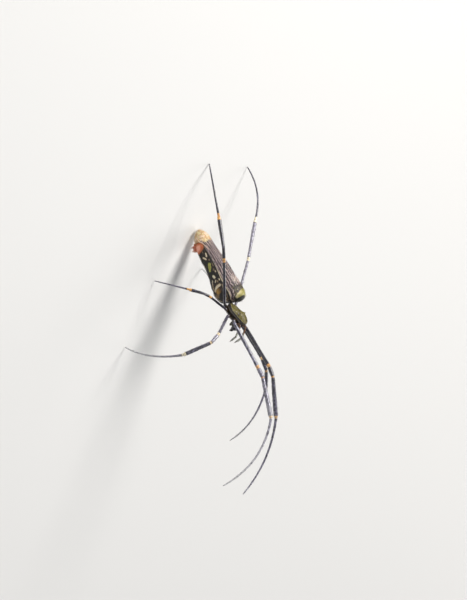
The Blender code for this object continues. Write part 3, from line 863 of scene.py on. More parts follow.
def makeAbdomenGroup():
    # the colours of the abdomen, the same for its skin and its coat
    group, given, out = newGroup(
        "abdomen markings",
        [("Ragged", "Float", 0.5)],
        [("Color", "Color"), ("Pale", "Float")],
    )
    stripe = numberNode(group, "stripe")
    place = numberNode(group, "place")
    ragged = noiseNode(group, 1900, 3, 0.6)
    broad = noiseNode(group, 420, 3, 0.55)
    edge = timesNode(group, mathNode(group, "SUBTRACT", ragged, 0.5), given["Ragged"])

    def inMark(name, soft=0.06):
        return spanNode(group, mathNode(group, "ADD", name, edge), -soft, soft)

    # back: dark mauve brown with pinkish cream lines, paler on the shoulders
    lines = lineNode(group, stripe, place, 6.5, 1.1, 0.5, 0.2)
    hairlines = lineNode(group, stripe, place, 12.0, 1.3, 0.85, 0.2)
    lines = mathNode(group, "MAXIMUM", lines, timesNode(group, hairlines, 0.28))
    ground = fadeNode(group, broad, 0.35, 0.7, (0.016, 0.010, 0.011), (0.062, 0.039, 0.043))
    lineColour = fadeNode(group, broad, 0.4, 0.65, (0.54, 0.42, 0.39), (0.30, 0.23, 0.25))
    back = mixNode(group, lines, ground, lineColour)
    nearMiddle = spanNode(group, stripe, 0.62, 0.35)
    shoulder = timesNode(group, spanNode(group, place, 25.5, 28.0), spanNode(group, place, 31.5, 29.5))
    shoulder = timesNode(group, shoulder, nearMiddle)
    shoulder = timesNode(group, shoulder, spanNode(group, ragged, 0.42, 0.6))
    back = mixNode(group, shoulder, back, (0.66, 0.56, 0.47))
    nearFront = timesNode(group, spanNode(group, place, 30.8, 32.6), spanNode(group, stripe, 0.85, 0.6))
    dots = fadeNode(group, ragged, 0.57, 0.63, (0.012, 0.009, 0.004), (0.40, 0.36, 0.16))
    back = mixNode(group, timesNode(group, nearFront, 0.85), back, dots)
    # flanks: black with marks, each with a brown edge
    flank = fadeNode(group, broad, 0.45, 0.75, (0.005, 0.0035, 0.003), (0.026, 0.015, 0.008))
    tanColour = mixNode(group, ragged, (0.10, 0.055, 0.025), (0.34, 0.22, 0.10))
    flank = mixNode(group, inMark("tan", 0.3), flank, tanColour)
    halo = spanNode(group, "cream", -0.4, -0.02)
    flank = mixNode(group, halo, flank, (0.075, 0.036, 0.013))
    flank = mixNode(group, inMark("dull", 0.09), flank, (0.27, 0.19, 0.11))
    creamColour = fadeNode(group, broad, 0.35, 0.65, (0.78, 0.70, 0.52), (0.60, 0.49, 0.32))
    flank = mixNode(group, inMark("cream"), flank, creamColour)
    greenColour = fadeNode(group, ragged, 0.3, 0.7, (0.30, 0.30, 0.055), (0.44, 0.42, 0.10))
    flank = mixNode(group, inMark("green"), flank, greenColour)
    coverColour = fadeNode(group, stripe, 1.24, 1.46, (0.045, 0.017, 0.006), (0.43, 0.24, 0.05))
    flank = mixNode(group, inMark("cover", 0.3), flank, coverColour)
    onFlank = spanNode(group, stripe, 0.99, 1.03)
    colour = mixNode(group, onFlank, back, flank)
    sideGap = mathNode(group, "ABSOLUTE", "sideGap")
    sideMask = spanNode(group, timesPlusNode(group, ragged, 0.3, sideGap), 0.4, 0.28)
    sideColour = fadeNode(group, place, 16.0, 26.0, (0.20, 0.17, 0.16), (0.66, 0.57, 0.40))
    colour = mixNode(group, sideMask, colour, sideColour)
    # tail: cream, blotched with tan and mauve
    tailEdge = timesPlusNode(group, broad, 5.0, timesPlusNode(group, ragged, 3.0, place))
    cloud = noiseNode(group, 800, 3, 0.6)
    tail = fadeNode(group, cloud, 0.4, 0.58, (0.80, 0.70, 0.40), (0.62, 0.40, 0.20))
    tail = fadeNode(group, broad, 0.50, 0.62, tail, (0.80, 0.62, 0.46))
    specks = timesNode(group, spanNode(group, ragged, 0.56, 0.64), 0.7)
    tail = mixNode(group, specks, tail, (0.19, 0.10, 0.07))
    tailMask = spanNode(group, tailEdge, 11.2, 9.4)
    colour = mixNode(group, tailMask, colour, tail)
    # round the spinnerets: salmon, then orange red, then brown
    red = numberNode(group, "red")
    mottle = mathNode(group, "SUBTRACT", broad, 0.5)
    redMottled = timesPlusNode(group, mottle, 1.6, red)
    redColour = fadeNode(group, redMottled, 0.1, 0.7, (0.22, 0.085, 0.028), (0.56, 0.15, 0.055))
    redColour = fadeNode(group, redMottled, 0.8, 1.9, redColour, (0.86, 0.43, 0.31))
    tailward = spanNode(group, place, 9.8, 8.0)
    redSoft = mixNode(group, tailward, (1, 1, 1), (0.12, 0.12, 0.12))
    redMask = spanNode(group, mathNode(group, "DIVIDE", red, redSoft), -0.35, 0.65)
    colour = mixNode(group, redMask, colour, redColour)
    colour = mixNode(group, inMark("rim", 0.08), colour, (0.86, 0.64, 0.50))
    # front: black face, and the cream and olive band above it
    face = spanNode(group, "face", 0.0, 0.3)
    colour = mixNode(group, face, colour, (0.006, 0.0055, 0.003))
    bandColour = fadeNode(group, broad, 0.4, 0.62, (0.40, 0.35, 0.115), (0.25, 0.225, 0.06))
    bandColour = fadeNode(group, stripe, 0.28, 0.6, bandColour, (0.56, 0.48, 0.27))
    bandMask = spanNode(group, timesPlusNode(group, edge, 1.6, "band"), -0.1, 0.1)
    colour = mixNode(group, bandMask, colour, bandColour)
    link(group, colour, out["Color"])
    onBack = timesNode(group, lines, mathNode(group, "SUBTRACT", 1.0, onFlank))
    pale = mathNode(group, "MAXIMUM", onBack, bandMask)
    creamMarks = timesNode(group, inMark("cream"), onFlank)
    link(group, mathNode(group, "MAXIMUM", pale, creamMarks), out["Pale"])
    return group


def abdomenSkinMaterial():
    material, tree = newMaterial("abdomen skin")
    markings = placeGroup(tree, abdomenGroup, Ragged=0.5)
    roughness = spanNode(tree, noiseNode(tree, 2600, 4, 0.6), 0.3, 0.75, 0.34, 0.58)
    wrinkles = timesPlusNode(tree, markings["Pale"], 0.3, noiseNode(tree, 1500, 5, 0.65))
    skin = tree.nodes["Principled BSDF"].inputs
    skin["Subsurface Weight"].default_value = 0.08
    skin["Subsurface Scale"].default_value = 0.001
    return finished(material, markings["Color"], roughness, wrinkles, 0.13)


def abdomenHairMaterial():
    material, tree = newMaterial("abdomen hair")
    markings = placeGroup(tree, abdomenGroup, Ragged=0.5)
    glint = timesNode(tree, "tip", spanNode(tree, "chance", 0.5, 1.0, 0.0, 0.22))
    return finished(material, mixNode(tree, glint, markings["Color"], (0.60, 0.52, 0.44)), 0.4)


def makeAbdomen():
    skin, turn = drawnBall("abdomenSkin", abdomen["sides"], abdomen["rings"], abdomenPlace)
    points = readPoints(skin)
    place = points[:, 0]
    side = np.where(turn > 180, 360 - turn, turn)  # 0 along the back's middle, 180 below
    writePoints(skin, shapeAbdomen(points, place, side))
    sideTurn = valueAt(abdomen["sideLine"], place)
    perDegree = np.radians(1) * np.interp(place, *abdomenRadius)
    bandPlace, bandHalf = (valueAt(abdomen["frontBand"], side, column) for column in (1, 2))
    faceStart = np.maximum(bandPlace, np.interp(side, [80, 110, 140], [0, 36.6, 37.2]))
    redPlace, redTurn, redRadius, redLong, redWide, redDepth = abdomen["redPatch"]
    redSide = np.clip((side - redTurn) * np.radians(1) * redRadius, -9, 9)
    numbers = {
        "place": place,
        "stripe": np.where(side < sideTurn, side / sideTurn, 1 + (side - sideTurn) / 90),
        "sideGap": (side - sideTurn) * perDegree,
        "band": bandHalf - np.abs(place - bandPlace),
        "face": place - faceStart,
        "red": redDepth * (1 - np.hypot((place - redPlace) / redLong, redSide / redWide)),
    }
    for name, rows in marks.items():
        numbers[name] = markDepth(rows, place, side, abdomenRadius)
    for name, values in numbers.items():
        setNumbers(skin, name, values)

    backward = (-1.0, 0, 0)
    ends = np.where(place > 35.5, 0.7, 1.0)
    above = stepBetween(96, 92, side)
    densities = {"abdomenBackHair": 21.0 * above, "abdomenFlankHair": 16.0 * (1 - above)}
    coats = []
    for number, (name, density) in enumerate(densities.items()):
        roots = rootsOn(skin, backward, density * ends, seeds["abdomen"] + number, numbers=numbers)
        coats.append(plantHairs(name, roots, "abdomen", seeds["abdomenPlanted"] + number))
    long = 1.1 + 5.0 * stepBetween(3.0, 0.5, place) + 3.0 * stepBetween(36.0, 37.4, place)
    coats.append(coatOn(skin, "abdomenLongHair", backward, long, "abdomenLong", numbers=numbers))
    settle(skin, rearFrame, abdomenSkinMaterial(), ["abdomen"], smoothAngle=80)
    material = abdomenHairMaterial()
    for coat in coats:
        settleHairs(coat, rearFrame, material)


abdomenRows = np.array(abdomen["profile"])
abdomenRadius = (
    abdomenRows[:, 0],
    (abdomenRows[:, 1] - abdomenRows[:, 2]) / 4 + abdomenRows[:, 3] / 2,
)
abdomenGroup = makeAbdomenGroup()
makeAbdomen()
print("abdomen made")


# Spinnerets and the tail's tubercle

spinnerets = {
    "moundPlace": 6.3,
    "moundReach": 2.1,
    "belly": -4.7,
    # along, side, lean forward, radius, length; the last is the tail's tubercle
    "fingers": (
        (7.4, 0.75, -4, 0.66, 2.3), (5.9, 0.72, -12, 0.58, 2.1), (6.6, 0.3, -6, 0.3, 1.9),
        (4.9, 0.0, -25, 0.6, 1.3),
    ),
    "fingerRadii": (
        (0, 1.0), (0.4, 1.04), (0.56, 0.84), (0.6, 0.88), (0.85, 0.7), (0.96, 0.42), (1.0, 0.16),
    ),
    "stripWidth": 0.14,
}


def spinneretMaterial():
    material, tree = newMaterial("spinneret skin")
    cloud = noiseNode(tree, 1600, 4, 0.6)
    colour = fadeNode(tree, cloud, 0.35, 0.68, (0.62, 0.20, 0.12), (0.42, 0.09, 0.045))
    colour = fadeNode(tree, "reach", 0.35, 0.8, colour, (0.80, 0.58, 0.50))
    return finished(material, colour, 0.45, noiseNode(tree, 5200, 4, 0.6), 0.05)


def makeFinger(number, side, strip, material):
    # one spinneret, and its hair, still to be joined with the others';
    # strip is where the finger's part of their map starts
    along, aside, lean, radius, length = spinnerets["fingers"][number]
    rows = spinnerets["fingerRadii"]
    stations = [(length * share, radius * size, radius * size, 0) for share, size in rows]
    word = "Left" if side > 0 else "Right"
    name = f"spinneret{number}{word}" if aside else "tailTubercle"
    finger = extrudedLimb(name, stations, 10, 2)
    reach = readPoints(finger)[:, 0] / length
    setNumbers(finger, "reach", reach)
    wrapMap(finger, length)
    lean = math.radians(lean)
    way = Vector((math.sin(lean), side * 0.06, -math.cos(lean))).normalized()
    sink = 0.3 if aside else -0.1
    root = Vector((along, side * aside, spinnerets["belly"] - sink))
    turn = way.to_track_quat("X", "Y").to_matrix().to_4x4()
    matrix = rearFrame @ Matrix.Translation(root) @ turn
    density = np.where((reach > 0.3) & (reach < 0.97), 20.0, 0.0)
    roots = rootsOn(finger, (1.0, 0, 0), density, seeds["spinneret"] + number)
    roots["maps"][:, 0] = strip + np.clip(roots["maps"][:, 0], 0.03, 0.97) * spinnerets["stripWidth"]
    hair = plantHairs(name + "Hair", roots, "spinneret", seeds["spinneretPlanted"] + number)
    settle(finger, matrix, material)
    writePoints(hair, moved(readPoints(hair), matrix))
    return hair


def makeSpinnerets():
    centre, wide = spinnerets["moundPlace"], spinnerets["moundReach"]

    def moundPlace(share, turn):
        angle = np.radians(turn)
        out = np.sin(share * math.pi)
        ruffle = 1 + 0.05 * np.sin(angle * 7) * out
        x = centre + wide * out * np.cos(angle) * ruffle
        y = wide * out * np.sin(angle) * ruffle
        return np.stack([x, y, spinnerets["belly"] + 0.95 * np.cos(share * math.pi)], 1)

    material = spinneretMaterial()
    mound, _ = drawnBall("spinneretMound", 48, 24, moundPlace)
    setNumbers(mound, "reach", everywhere(mound))
    settle(mound, rearFrame, material, ["spinnerets"])
    hairs = []
    for number, (_, aside, *_) in enumerate(spinnerets["fingers"]):
        for side in (1, -1) if aside else (1,):
            strip = len(hairs) * spinnerets["stripWidth"]
            hairs.append(makeFinger(number, side, strip, material))
    hairColour = hairMaterial("spinneret hair", (0.25, 0.1, 0.05), (0.7, 0.55, 0.4), 0.45)
    settleHairs(joined(hairs, "spinneretHair"), Matrix.Identity(4), hairColour)


makeSpinnerets()
print("spinnerets made")


# Carapace and eyes

carapace = {
    "rim": -1.9,
    # place, top, half width
    "profile": (
        (-0.5, -1.1, 1.3), (0.3, -0.2, 2.9), (1.6, 0.4, 4.1), (3.4, 0.75, 4.85), (5.0, 1.2, 4.6),
        (6.4, 1.65, 3.8), (8.0, 1.65, 3.15), (9.6, 1.3, 2.95), (10.7, 0.8, 2.7), (11.2, 0.2, 2.3),
    ),
    "fullness": 0.8,
    "sides": 128,
    "rings": 150,
    "horns": (6.9, 0.75, 0.3, 0.62),  # place, side, radius, height
    "pit": (3.5, 0.9),
    "radialEnds": ((0.6, 2.6), (2.4, 4.3), (4.5, 4.4), (6.2, 3.9)),
    "neckEnd": (7.3, 3.2),
    # how high the dark of the flanks reaches: places, heights
    "marginRise": ((0.0, 1.7, 4.2, 6.3, 8.4, 9.7, 11.0), (-0.5, -0.3, -0.6, -0.65, -0.7, -0.55, -0.4)),
}


def segmentFar(points, start, end):
    start, end = np.array(start), np.array(end)
    way = end - start
    share = np.clip((points - start) @ way / (way @ way), 0, 1)
    return np.linalg.norm(points - start - share[:, None] * way, axis=1), share


def carapacePlace(share, turn):
    low, high = carapace["profile"][0][0], carapace["profile"][-1][0]
    rearShare, frontShare = 0.08, 0.86
    place = np.interp(share, [rearShare, frontShare], [low, high])
    scale = np.ones_like(share)
    rear, front = share < rearShare, share > frontShare
    scale[rear] = share[rear] / rearShare
    scale[front] = (1 - share[front]) / (1 - frontShare)
    top, half = valueAt(carapace["profile"], place, 1), valueAt(carapace["profile"], place, 2)
    rim = carapace["rim"]
    angle = np.radians(turn)
    rise = np.sin(angle)
    height = np.where(rise > 0, (top - rim) * np.abs(rise) ** carapace["fullness"], 0.06 * np.abs(rise))
    middle = (top - rim) * 0.45
    y = half * np.cos(angle) * scale
    z = rim + middle + (height - middle) * scale
    x = place + np.where(front, 0.3 * (1 - scale**2), 0) - np.where(rear, 0.05 * (1 - scale**2), 0)
    return np.stack([x, y, z], 1)


def shapeCarapace(points, eyes):
    # pit, grooves, horns and the low mounds that the eyes sit on
    x, y, z = points.T
    upper = stepBetween(carapace["rim"] + 0.15, carapace["rim"] + 0.7, z)
    flat = np.stack([x, np.abs(y)], 1)
    push = np.zeros_like(x)
    pitPlace, pitWide = carapace["pit"]
    push -= 0.55 * np.exp(-(((x - pitPlace) / 0.38) ** 2) - ((y / pitWide) ** 2))
    for end in carapace["radialEnds"]:
        far, along = segmentFar(flat, (pitPlace, 0.5), end)
        push -= 0.16 * bell(far / 0.3) * (1 - 0.6 * along)
    far, along = segmentFar(flat, (pitPlace + 0.3, 0.15), carapace["neckEnd"])
    push -= 0.3 * bell(far / 0.36) * stepBetween(1.05, 0.8, along)
    swell = np.exp(-(((x - 8.4) / 1.9) ** 2) - (((np.abs(y) - 1.2) / 1.2) ** 2))
    push += 0.1 * swell
    hornPlace, hornSide, hornRadius, hornHeight = carapace["horns"]
    far = np.hypot(x - hornPlace, np.abs(y) - hornSide)
    horn = hornHeight * np.clip(1 - (far / (hornRadius * 1.5)) ** 1.2, 0, 1)
    lifted = points.copy()
    lifted[:, 2] += (push + horn) * upper
    lip = bell((z - carapace["rim"] - 0.12) / 0.16) * (x < 10.8)
    lifted[:, 1] += np.sign(y) * 0.05 * lip
    for centre, radius in eyes:
        gap = points - centre
        far = np.linalg.norm(gap, axis=1)
        ring = bell((far - radius) / 0.16)
        lifted += gap / (far[:, None] + 1e-6) * (0.05 * ring)[:, None]
    return lifted


def carapaceMaterial():
    material, tree = newMaterial("carapace plate")
    olive, gold = (0.085, 0.066, 0.014), (0.20, 0.17, 0.045)
    cuticle = placeGroup(tree, cuticleGroup, Dark=olive, Light=gold, Gloss=0.42)
    patches = noiseNode(tree, 520, 4, 0.6)
    colour = fadeNode(tree, patches, 0.56, 0.66, cuticle["Color"], (0.05, 0.030, 0.012))
    colour = mixNode(tree, "groove", colour, (0.028, 0.017, 0.008))
    fine = noiseNode(tree, 2400, 3, 0.6)
    ragged = timesPlusNode(tree, fine, 0.5, mathNode(tree, "SUBTRACT", "flankRise", 0.25))
    flankColour = fadeNode(tree, fine, 0.5, 0.66, (0.009, 0.007, 0.007), (0.075, 0.06, 0.062))
    colour = fadeNode(tree, ragged, 0.08, -0.1, colour, flankColour)
    borderGap = mathNode(tree, "ABSOLUTE", mathNode(tree, "SUBTRACT", ragged, 0.02))
    colour = fadeNode(tree, borderGap, 0.12, 0.05, colour, (0.36, 0.32, 0.17))
    colour = mixNode(tree, "rimLine", colour, (0.20, 0.16, 0.11))
    colour = mixNode(tree, "frontDark", colour, (0.030, 0.024, 0.012))
    colour = mixNode(tree, "under", colour, (0.020, 0.013, 0.009))
    return finished(material, colour, cuticle["Roughness"], cuticle["Height"], 0.04)


def carapaceHairMaterial():
    # gold over the top, dark down the sides
    material, tree = newMaterial("gold hair")
    pale = timesNode(tree, "tip", spanNode(tree, "chance", 0.0, 1.0, 0.25, 1.0))
    gold = mixNode(tree, pale, (0.15, 0.125, 0.022), (0.40, 0.37, 0.12))
    dark = mixNode(tree, pale, (0.012, 0.010, 0.010), (0.16, 0.14, 0.14))
    return finished(material, fadeNode(tree, "flankRise", -0.12, 0.08, dark, gold), 0.36)


def makeHead():
    eyes = []
    for name in ("front_middle", "rear_middle", "front_side", "rear_side"):
        for word in ("left", "right"):
            low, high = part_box(f"eye_{name}_{word}")
            centre = headFrame.inverted() @ ((low + high) / 2)
            radius = (high - low).length / math.sqrt(3) / 2 / millimetre
            eyes.append((name, word, np.array(centre), radius))
    plate, _ = drawnBall("carapacePlate", carapace["sides"], carapace["rings"], carapacePlace)
    points = readPoints(plate)
    writePoints(plate, shapeCarapace(points, [(centre, radius) for _, _, centre, radius in eyes]))
    x, y, z = points.T
    upper = stepBetween(carapace["rim"] + 0.15, carapace["rim"] + 0.7, z)
    flat = np.stack([x, np.abs(y)], 1)
    pitPlace, pitWide = carapace["pit"]
    groove = np.exp(-(((x - pitPlace) / 0.4) ** 2) - ((y / pitWide) ** 2))
    far, along = segmentFar(flat, (pitPlace + 0.3, 0.15), carapace["neckEnd"])
    groove = np.maximum(groove, 0.8 * bell(far / 0.34) * stepBetween(1.05, 0.8, along))
    darkSpot = bell(np.hypot(x - 6.9, np.abs(y) - 2.9) / 0.55)
    setNumbers(plate, "groove", np.clip(np.maximum(groove * upper, darkSpot), 0, 1))
    rimLine = bell((z - carapace["rim"] - 0.2) / 0.2) * (x < 10.5)
    setNumbers(plate, "rimLine", 0.7 * rimLine)
    setNumbers(plate, "frontDark", 0.75 * stepBetween(10.9, 11.25, x) * stepBetween(-0.5, -0.9, z))
    flankRise = z - np.interp(x, *carapace["marginRise"])
    setNumbers(plate, "flankRise", flankRise)
    setNumbers(plate, "under", stepBetween(carapace["rim"] + 0.1, carapace["rim"] + 0.02, z))
    # short gold hair that lies outward over the thorax and forward over the head
    onHead = stepBetween(5.5, 7.5, x)
    lies = np.stack([-0.5 + onHead * 1.3, np.sign(y) * (0.8 - 0.5 * onHead), -0.1 - 0 * x], 1)
    golden = stepBetween(-0.1, 0.15, flankRise)
    bare = (1 - 0.75 * np.clip(groove, 0, 1)) * (1 - darkSpot)
    density = upper * bare * (70.0 * golden + 8.0)
    hair = coatOn(plate, "carapaceHair", lies, density, "carapace", numbers=("flankRise",))
    # long stiff hairs between the eyes and along the head
    brow = 1.6 * upper * stepBetween(8.0, 9.5, x) * stepBetween(11.25, 11.0, x)
    bristles = coatOn(plate, "browHair", lies, brow, "brow")
    settle(plate, headFrame, carapaceMaterial(), ["carapace"], smoothAngle=80)
    settleHairs(hair, headFrame, carapaceHairMaterial())
    settleHairs(bristles, headFrame, darkHair)

    lens = eyeMaterial()
    for name, word, centre, radius in eyes:
        bpy.ops.object.select_all(action="DESELECT")
        bpy.ops.mesh.primitive_uv_sphere_add(segments=28, ring_count=18, radius=radius, location=centre)
        eye = bpy.context.object
        eye.name = "eye" + f"{name}_{word}".title().replace("_", "")
        inOrder(eye)
        bpy.ops.object.transform_apply(location=True, rotation=True, scale=True)
        settle(eye, headFrame, lens, [f"eye_{name}_{word}"])


def eyeMaterial():
    material, tree = newMaterial("eye lens")
    depth = noiseNode(tree, 2200, 2)
    colour = fadeNode(tree, depth, 0.35, 0.7, (0.003, 0.003, 0.005), (0.02, 0.012, 0.008))
    return finished(material, colour, 0.06, coat=1.0, coatRoughness=0.02)


darkHair = hairMaterial("dark hair", (0.012, 0.010, 0.010), (0.09, 0.08, 0.075), 0.35)
makeHead()
print("head made")


# Jaws, fangs, feelers, sternum and waist

# along, up, side of the points of each line
mouthLines = {
    "jaw": ((9.75, -1.9, 1.28), (10.05, -3.4, 1.3), (10.0, -5.2, 1.28), (9.75, -7.0, 1.2)),
    "fang": ((9.75, -6.95, 1.2), (9.75, -7.9, 1.05), (9.5, -8.2, 0.65), (9.15, -8.2, 0.3)),
    "mouthPlate": ((7.3, -4.6, 1.2), (7.6, -5.6, 1.25), (7.9, -6.7, 1.05)),
    "feeler": (
        (7.7, -5.3, 1.6), (8.5, -5.0, 2.9), (11.2, -1.9, 3.3), (12.2, -2.9, 3.4),
        (13.5, -4.7, 3.4), (14.6, -6.8, 3.2), (14.4, -10.2, 2.7),
    ),
}
# radii along each limb, the way its top points, and how it is built; flat is height over width
limbShapes = {
    "jaw": {
        "radii": ((0.0, 0.98), (0.12, 1.12), (0.45, 1.14), (0.75, 1.04), (0.92, 0.84), (1.0, 0.5)),
        "dorsal": (1.0, 0, 0), "sides": 14, "levels": 2, "softness": 0.8, "flat": 0.96,
    },
    "fang": {
        "radii": ((0.0, 0.44), (0.3, 0.38), (0.7, 0.22), (0.95, 0.07), (1.0, 0.03)),
        "dorsal": (1.0, 0, 0), "sides": 12, "levels": 1, "softness": 0.4, "spacing": 0.16,
    },
    "mouthPlate": {
        "radii": ((0.0, 0.6), (0.5, 0.72), (0.85, 0.58), (1.0, 0.3)),
        "dorsal": (1.0, 0, 0), "sides": 12, "levels": 2, "softness": 0.5, "flat": 0.8,
    },
    "feeler": {
        "radii": (
            (0.0, 0.4), (0.12, 0.42), (0.2, 0.36), (0.38, 0.42), (0.47, 0.44), (0.55, 0.4),
            (0.66, 0.44), (0.76, 0.42), (0.8, 0.36), (0.88, 0.38), (0.96, 0.24), (1.0, 0.08),
        ),
        "dorsal": (0.5, 0, 0.8), "sides": 12, "levels": 1, "softness": 0.5, "joints": (0, 1, 2, 4),
    },
    "lowerLip": {
        "radii": ((0.0, 0.42), (0.5, 0.44), (0.85, 0.34), (1.0, 0.15)),
        "dorsal": (1.0, 0, 0), "sides": 12, "levels": 2, "softness": 0.3, "flat": 0.75,
    },
    "waistStalk": {
        "radii": ((0.0, 0.9), (0.3, 0.7), (0.5, 0.74), (0.7, 0.66), (1.0, 0.85)),
        "dorsal": (0, 0, 1.0), "sides": 14, "levels": 1, "softness": 0.3, "spacing": 0.2,
    },
    "claw": {
        "radii": ((0, 0.075), (0.4, 0.06), (0.8, 0.035), (1, 0.012)),
        "dorsal": (0, 0, 1.0), "sides": 6, "levels": 1, "softness": 0.1, "spacing": 0.07,
    },
}


def headPoints(rows, side):
    return [Vector((along, side * aside, up)) for along, up, aside in rows]


def limbAlong(name, points, shape):
    # a straight limb as long as the line through points, with a ring about every spacing
    # and a neck at each joint
    line, corners = smoothLine(points, shape["softness"])
    reach = reaches(line)
    length = reach[-1]
    places = list(np.linspace(0, length, max(4, round(length / shape.get("spacing", 0.35)))))
    marks = [reach[corners[k]] for k in shape.get("joints", ())]
    for mark in marks:
        places = [place for place in places if abs(place - mark) > 0.3]
        places += [mark + step for step in (-0.26, -0.12, 0, 0.12, 0.26)]
    places.sort()
    stations = []
    for place in places:
        radius = float(valueAt(shape["radii"], place / length))
        for mark in marks:
            radius *= 1 - 0.2 * math.exp(-(((place - mark) / 0.11) ** 2))
        stations.append((place, radius, radius * shape.get("flat", 1.0), 0))
    limb = extrudedLimb(name, stations, shape["sides"], shape["levels"])
    straight = readPoints(limb)[:, 0]
    setNumbers(limb, "reach", straight / length)
    setNumbers(limb, "jointGap", np.min([np.abs(straight - mark) for mark in (*marks, 99)], axis=0))
    wrapMap(limb, length)
    return limb, line, length


def bendLimb(piece, line, shape):
    writePoints(piece, bendAlong(readPoints(piece), line, np.array(shape["dorsal"], float), 0))


def bentLimb(name, points, shape):
    limb, line, _ = limbAlong(name, points, shape)
    bendLimb(limb, line, shape)
    return limb


def feelerMaterial():
    material, tree = newMaterial("feeler skin")
    cloud = noiseNode(tree, 1500, 4)
    base = fadeNode(tree, cloud, 0.35, 0.7, (0.20, 0.072, 0.016), (0.07, 0.030, 0.014))
    base = fadeNode(tree, "reach", 0.30, 0.22, base, (0.022, 0.014, 0.012))
    pale = fadeNode(tree, cloud, 0.35, 0.7, (0.38, 0.40, 0.34), (0.17, 0.175, 0.15))
    colour = fadeNode(tree, "reach", 0.56, 0.68, base, pale)
    colour = fadeNode(tree, "reach", 0.95, 0.99, colour, (0.03, 0.026, 0.026))
    colour = fadeNode(tree, "jointGap", 0.3, 0.12, colour, (0.03, 0.02, 0.015))
    return finished(material, colour, 0.36, noiseNode(tree, 8000, 3), 0.015)


def makeMouth():
    finishes = {
        "jaw": chitinMaterial("jaw chitin", (0.010, 0.006, 0.016), (0.03, 0.018, 0.04), 0.2, 0.6),
        "fang": chitinMaterial(
            "fang chitin", (0.012, 0.004, 0.003), (0.05, 0.012, 0.005), 0.16, 0.8, 0.004
        ),
        "mouthPlate": chitinMaterial(
            "mouth plate chitin", (0.030, 0.020, 0.010), (0.085, 0.062, 0.024), 0.34
        ),
        "feeler": feelerMaterial(),
    }
    # which solid each piece stands for, and its slot
    rows = {
        "jaw": ("chelicera_", "jaws"),
        "fang": ("fang_", "jaws"),
        "mouthPlate": (None, "feelers"),
        "feeler": ("palp_", "feelers"),
    }
    for word, side in (("left", 1), ("right", -1)):
        for name, (solid, slot) in rows.items():
            shape = limbShapes[name]
            points = headPoints(mouthLines[name], side)
            piece, line, length = limbAlong(name + word.title(), points, shape)
            x, _, z = readPoints(piece).T
            forward = (1.0, 0, 0)
            hair = None
            if name == "jaw":
                density = 5.0 * stepBetween(0.8, 1.6, x) * np.where(z > -0.2, 1.0, 0.5)
                hair = coatOn(piece, piece.name + "Hair", forward, density, name)
            if name == "feeler":
                brush = stepBetween(0.68, 0.8, x / length)
                density = 12.0 * stepBetween(2.0, 3.5, x) * (1 + 2.2 * brush)
                hair = coatOn(piece, piece.name + "Hair", forward, density, name, 1 + 0.3 * brush)
            bendLimb(piece, line, shape)
            settle(piece, headFrame, finishes[name], [solid + word] if solid else ())
            if hair:
                bendLimb(hair, line, shape)
                settleHairs(hair, headFrame, darkHair if name == "jaw" else feelerHair)


feelerHair = hairMaterial("feeler hair", (0.05, 0.035, 0.03), (0.42, 0.40, 0.34), 0.4)
makeMouth()
print("mouth made")

sternum = {
    "top": -2.2,
    "bottom": -4.8,
    "profile": ((0.3, 0.6), (1.2, 1.7), (3.0, 2.1), (5.0, 2.2), (6.8, 2.0), (8.0, 1.2)),
    "knobs": (2.3, 4.1, 5.9),
    "lipLine": ((7.2, -4.38, 0.0), (7.4, -5.2, 0.0), (7.55, -5.88, 0.0)),
}


def softened(value, power):
    return np.sign(value) * np.abs(value) ** power


def makeBodyWall():
    # soft folded skin that the leg roots come out of, with long dark hair
    low, high, endShare = 0.5, 9.4, 0.12
    top, bottom = carapace["rim"] + 0.02, -4.25

    def wallPlace(share, turn):
        place = np.interp(share, [endShare, 1 - endShare], [low, high])
        scale = np.sqrt(np.clip(np.minimum(share, 1 - share) / endShare, 0, 1))
        half = np.minimum(valueAt(carapace["profile"], place, 2) - 0.35, 3.1)
        angle = np.radians(turn)
        folds = 1 + 0.05 * np.sin(place * 7.0 + 2 * np.sin(angle * 3))
        y = half * folds * np.cos(angle) * scale * (1 - 0.25 * np.clip(-np.sin(angle), 0, 1))
        z = (top + bottom) / 2 + (top - bottom) / 2 * softened(np.sin(angle), 0.5) * scale
        return np.stack([place, y, z], 1)

    material, tree = newMaterial("body wall skin")
    cloud = noiseNode(tree, 1300, 4, 0.6)
    colour = fadeNode(tree, cloud, 0.4, 0.66, (0.020, 0.013, 0.010), (0.10, 0.066, 0.040))
    finished(material, colour, 0.5, noiseNode(tree, 4200, 4, 0.6), 0.06)
    wall, _ = drawnBall("bodyWall", 64, 48, wallPlace)
    y = readPoints(wall)[:, 1]
    lies = np.stack([everywhere(wall, -0.3), 0.6 * np.sign(y), everywhere(wall, -1.0)], 1)
    hair = coatOn(wall, "bodyWallHair", lies, everywhere(wall, 7.0), "bodyWall")
    settle(wall, headFrame, material)
    settleHairs(hair, headFrame, darkHair)


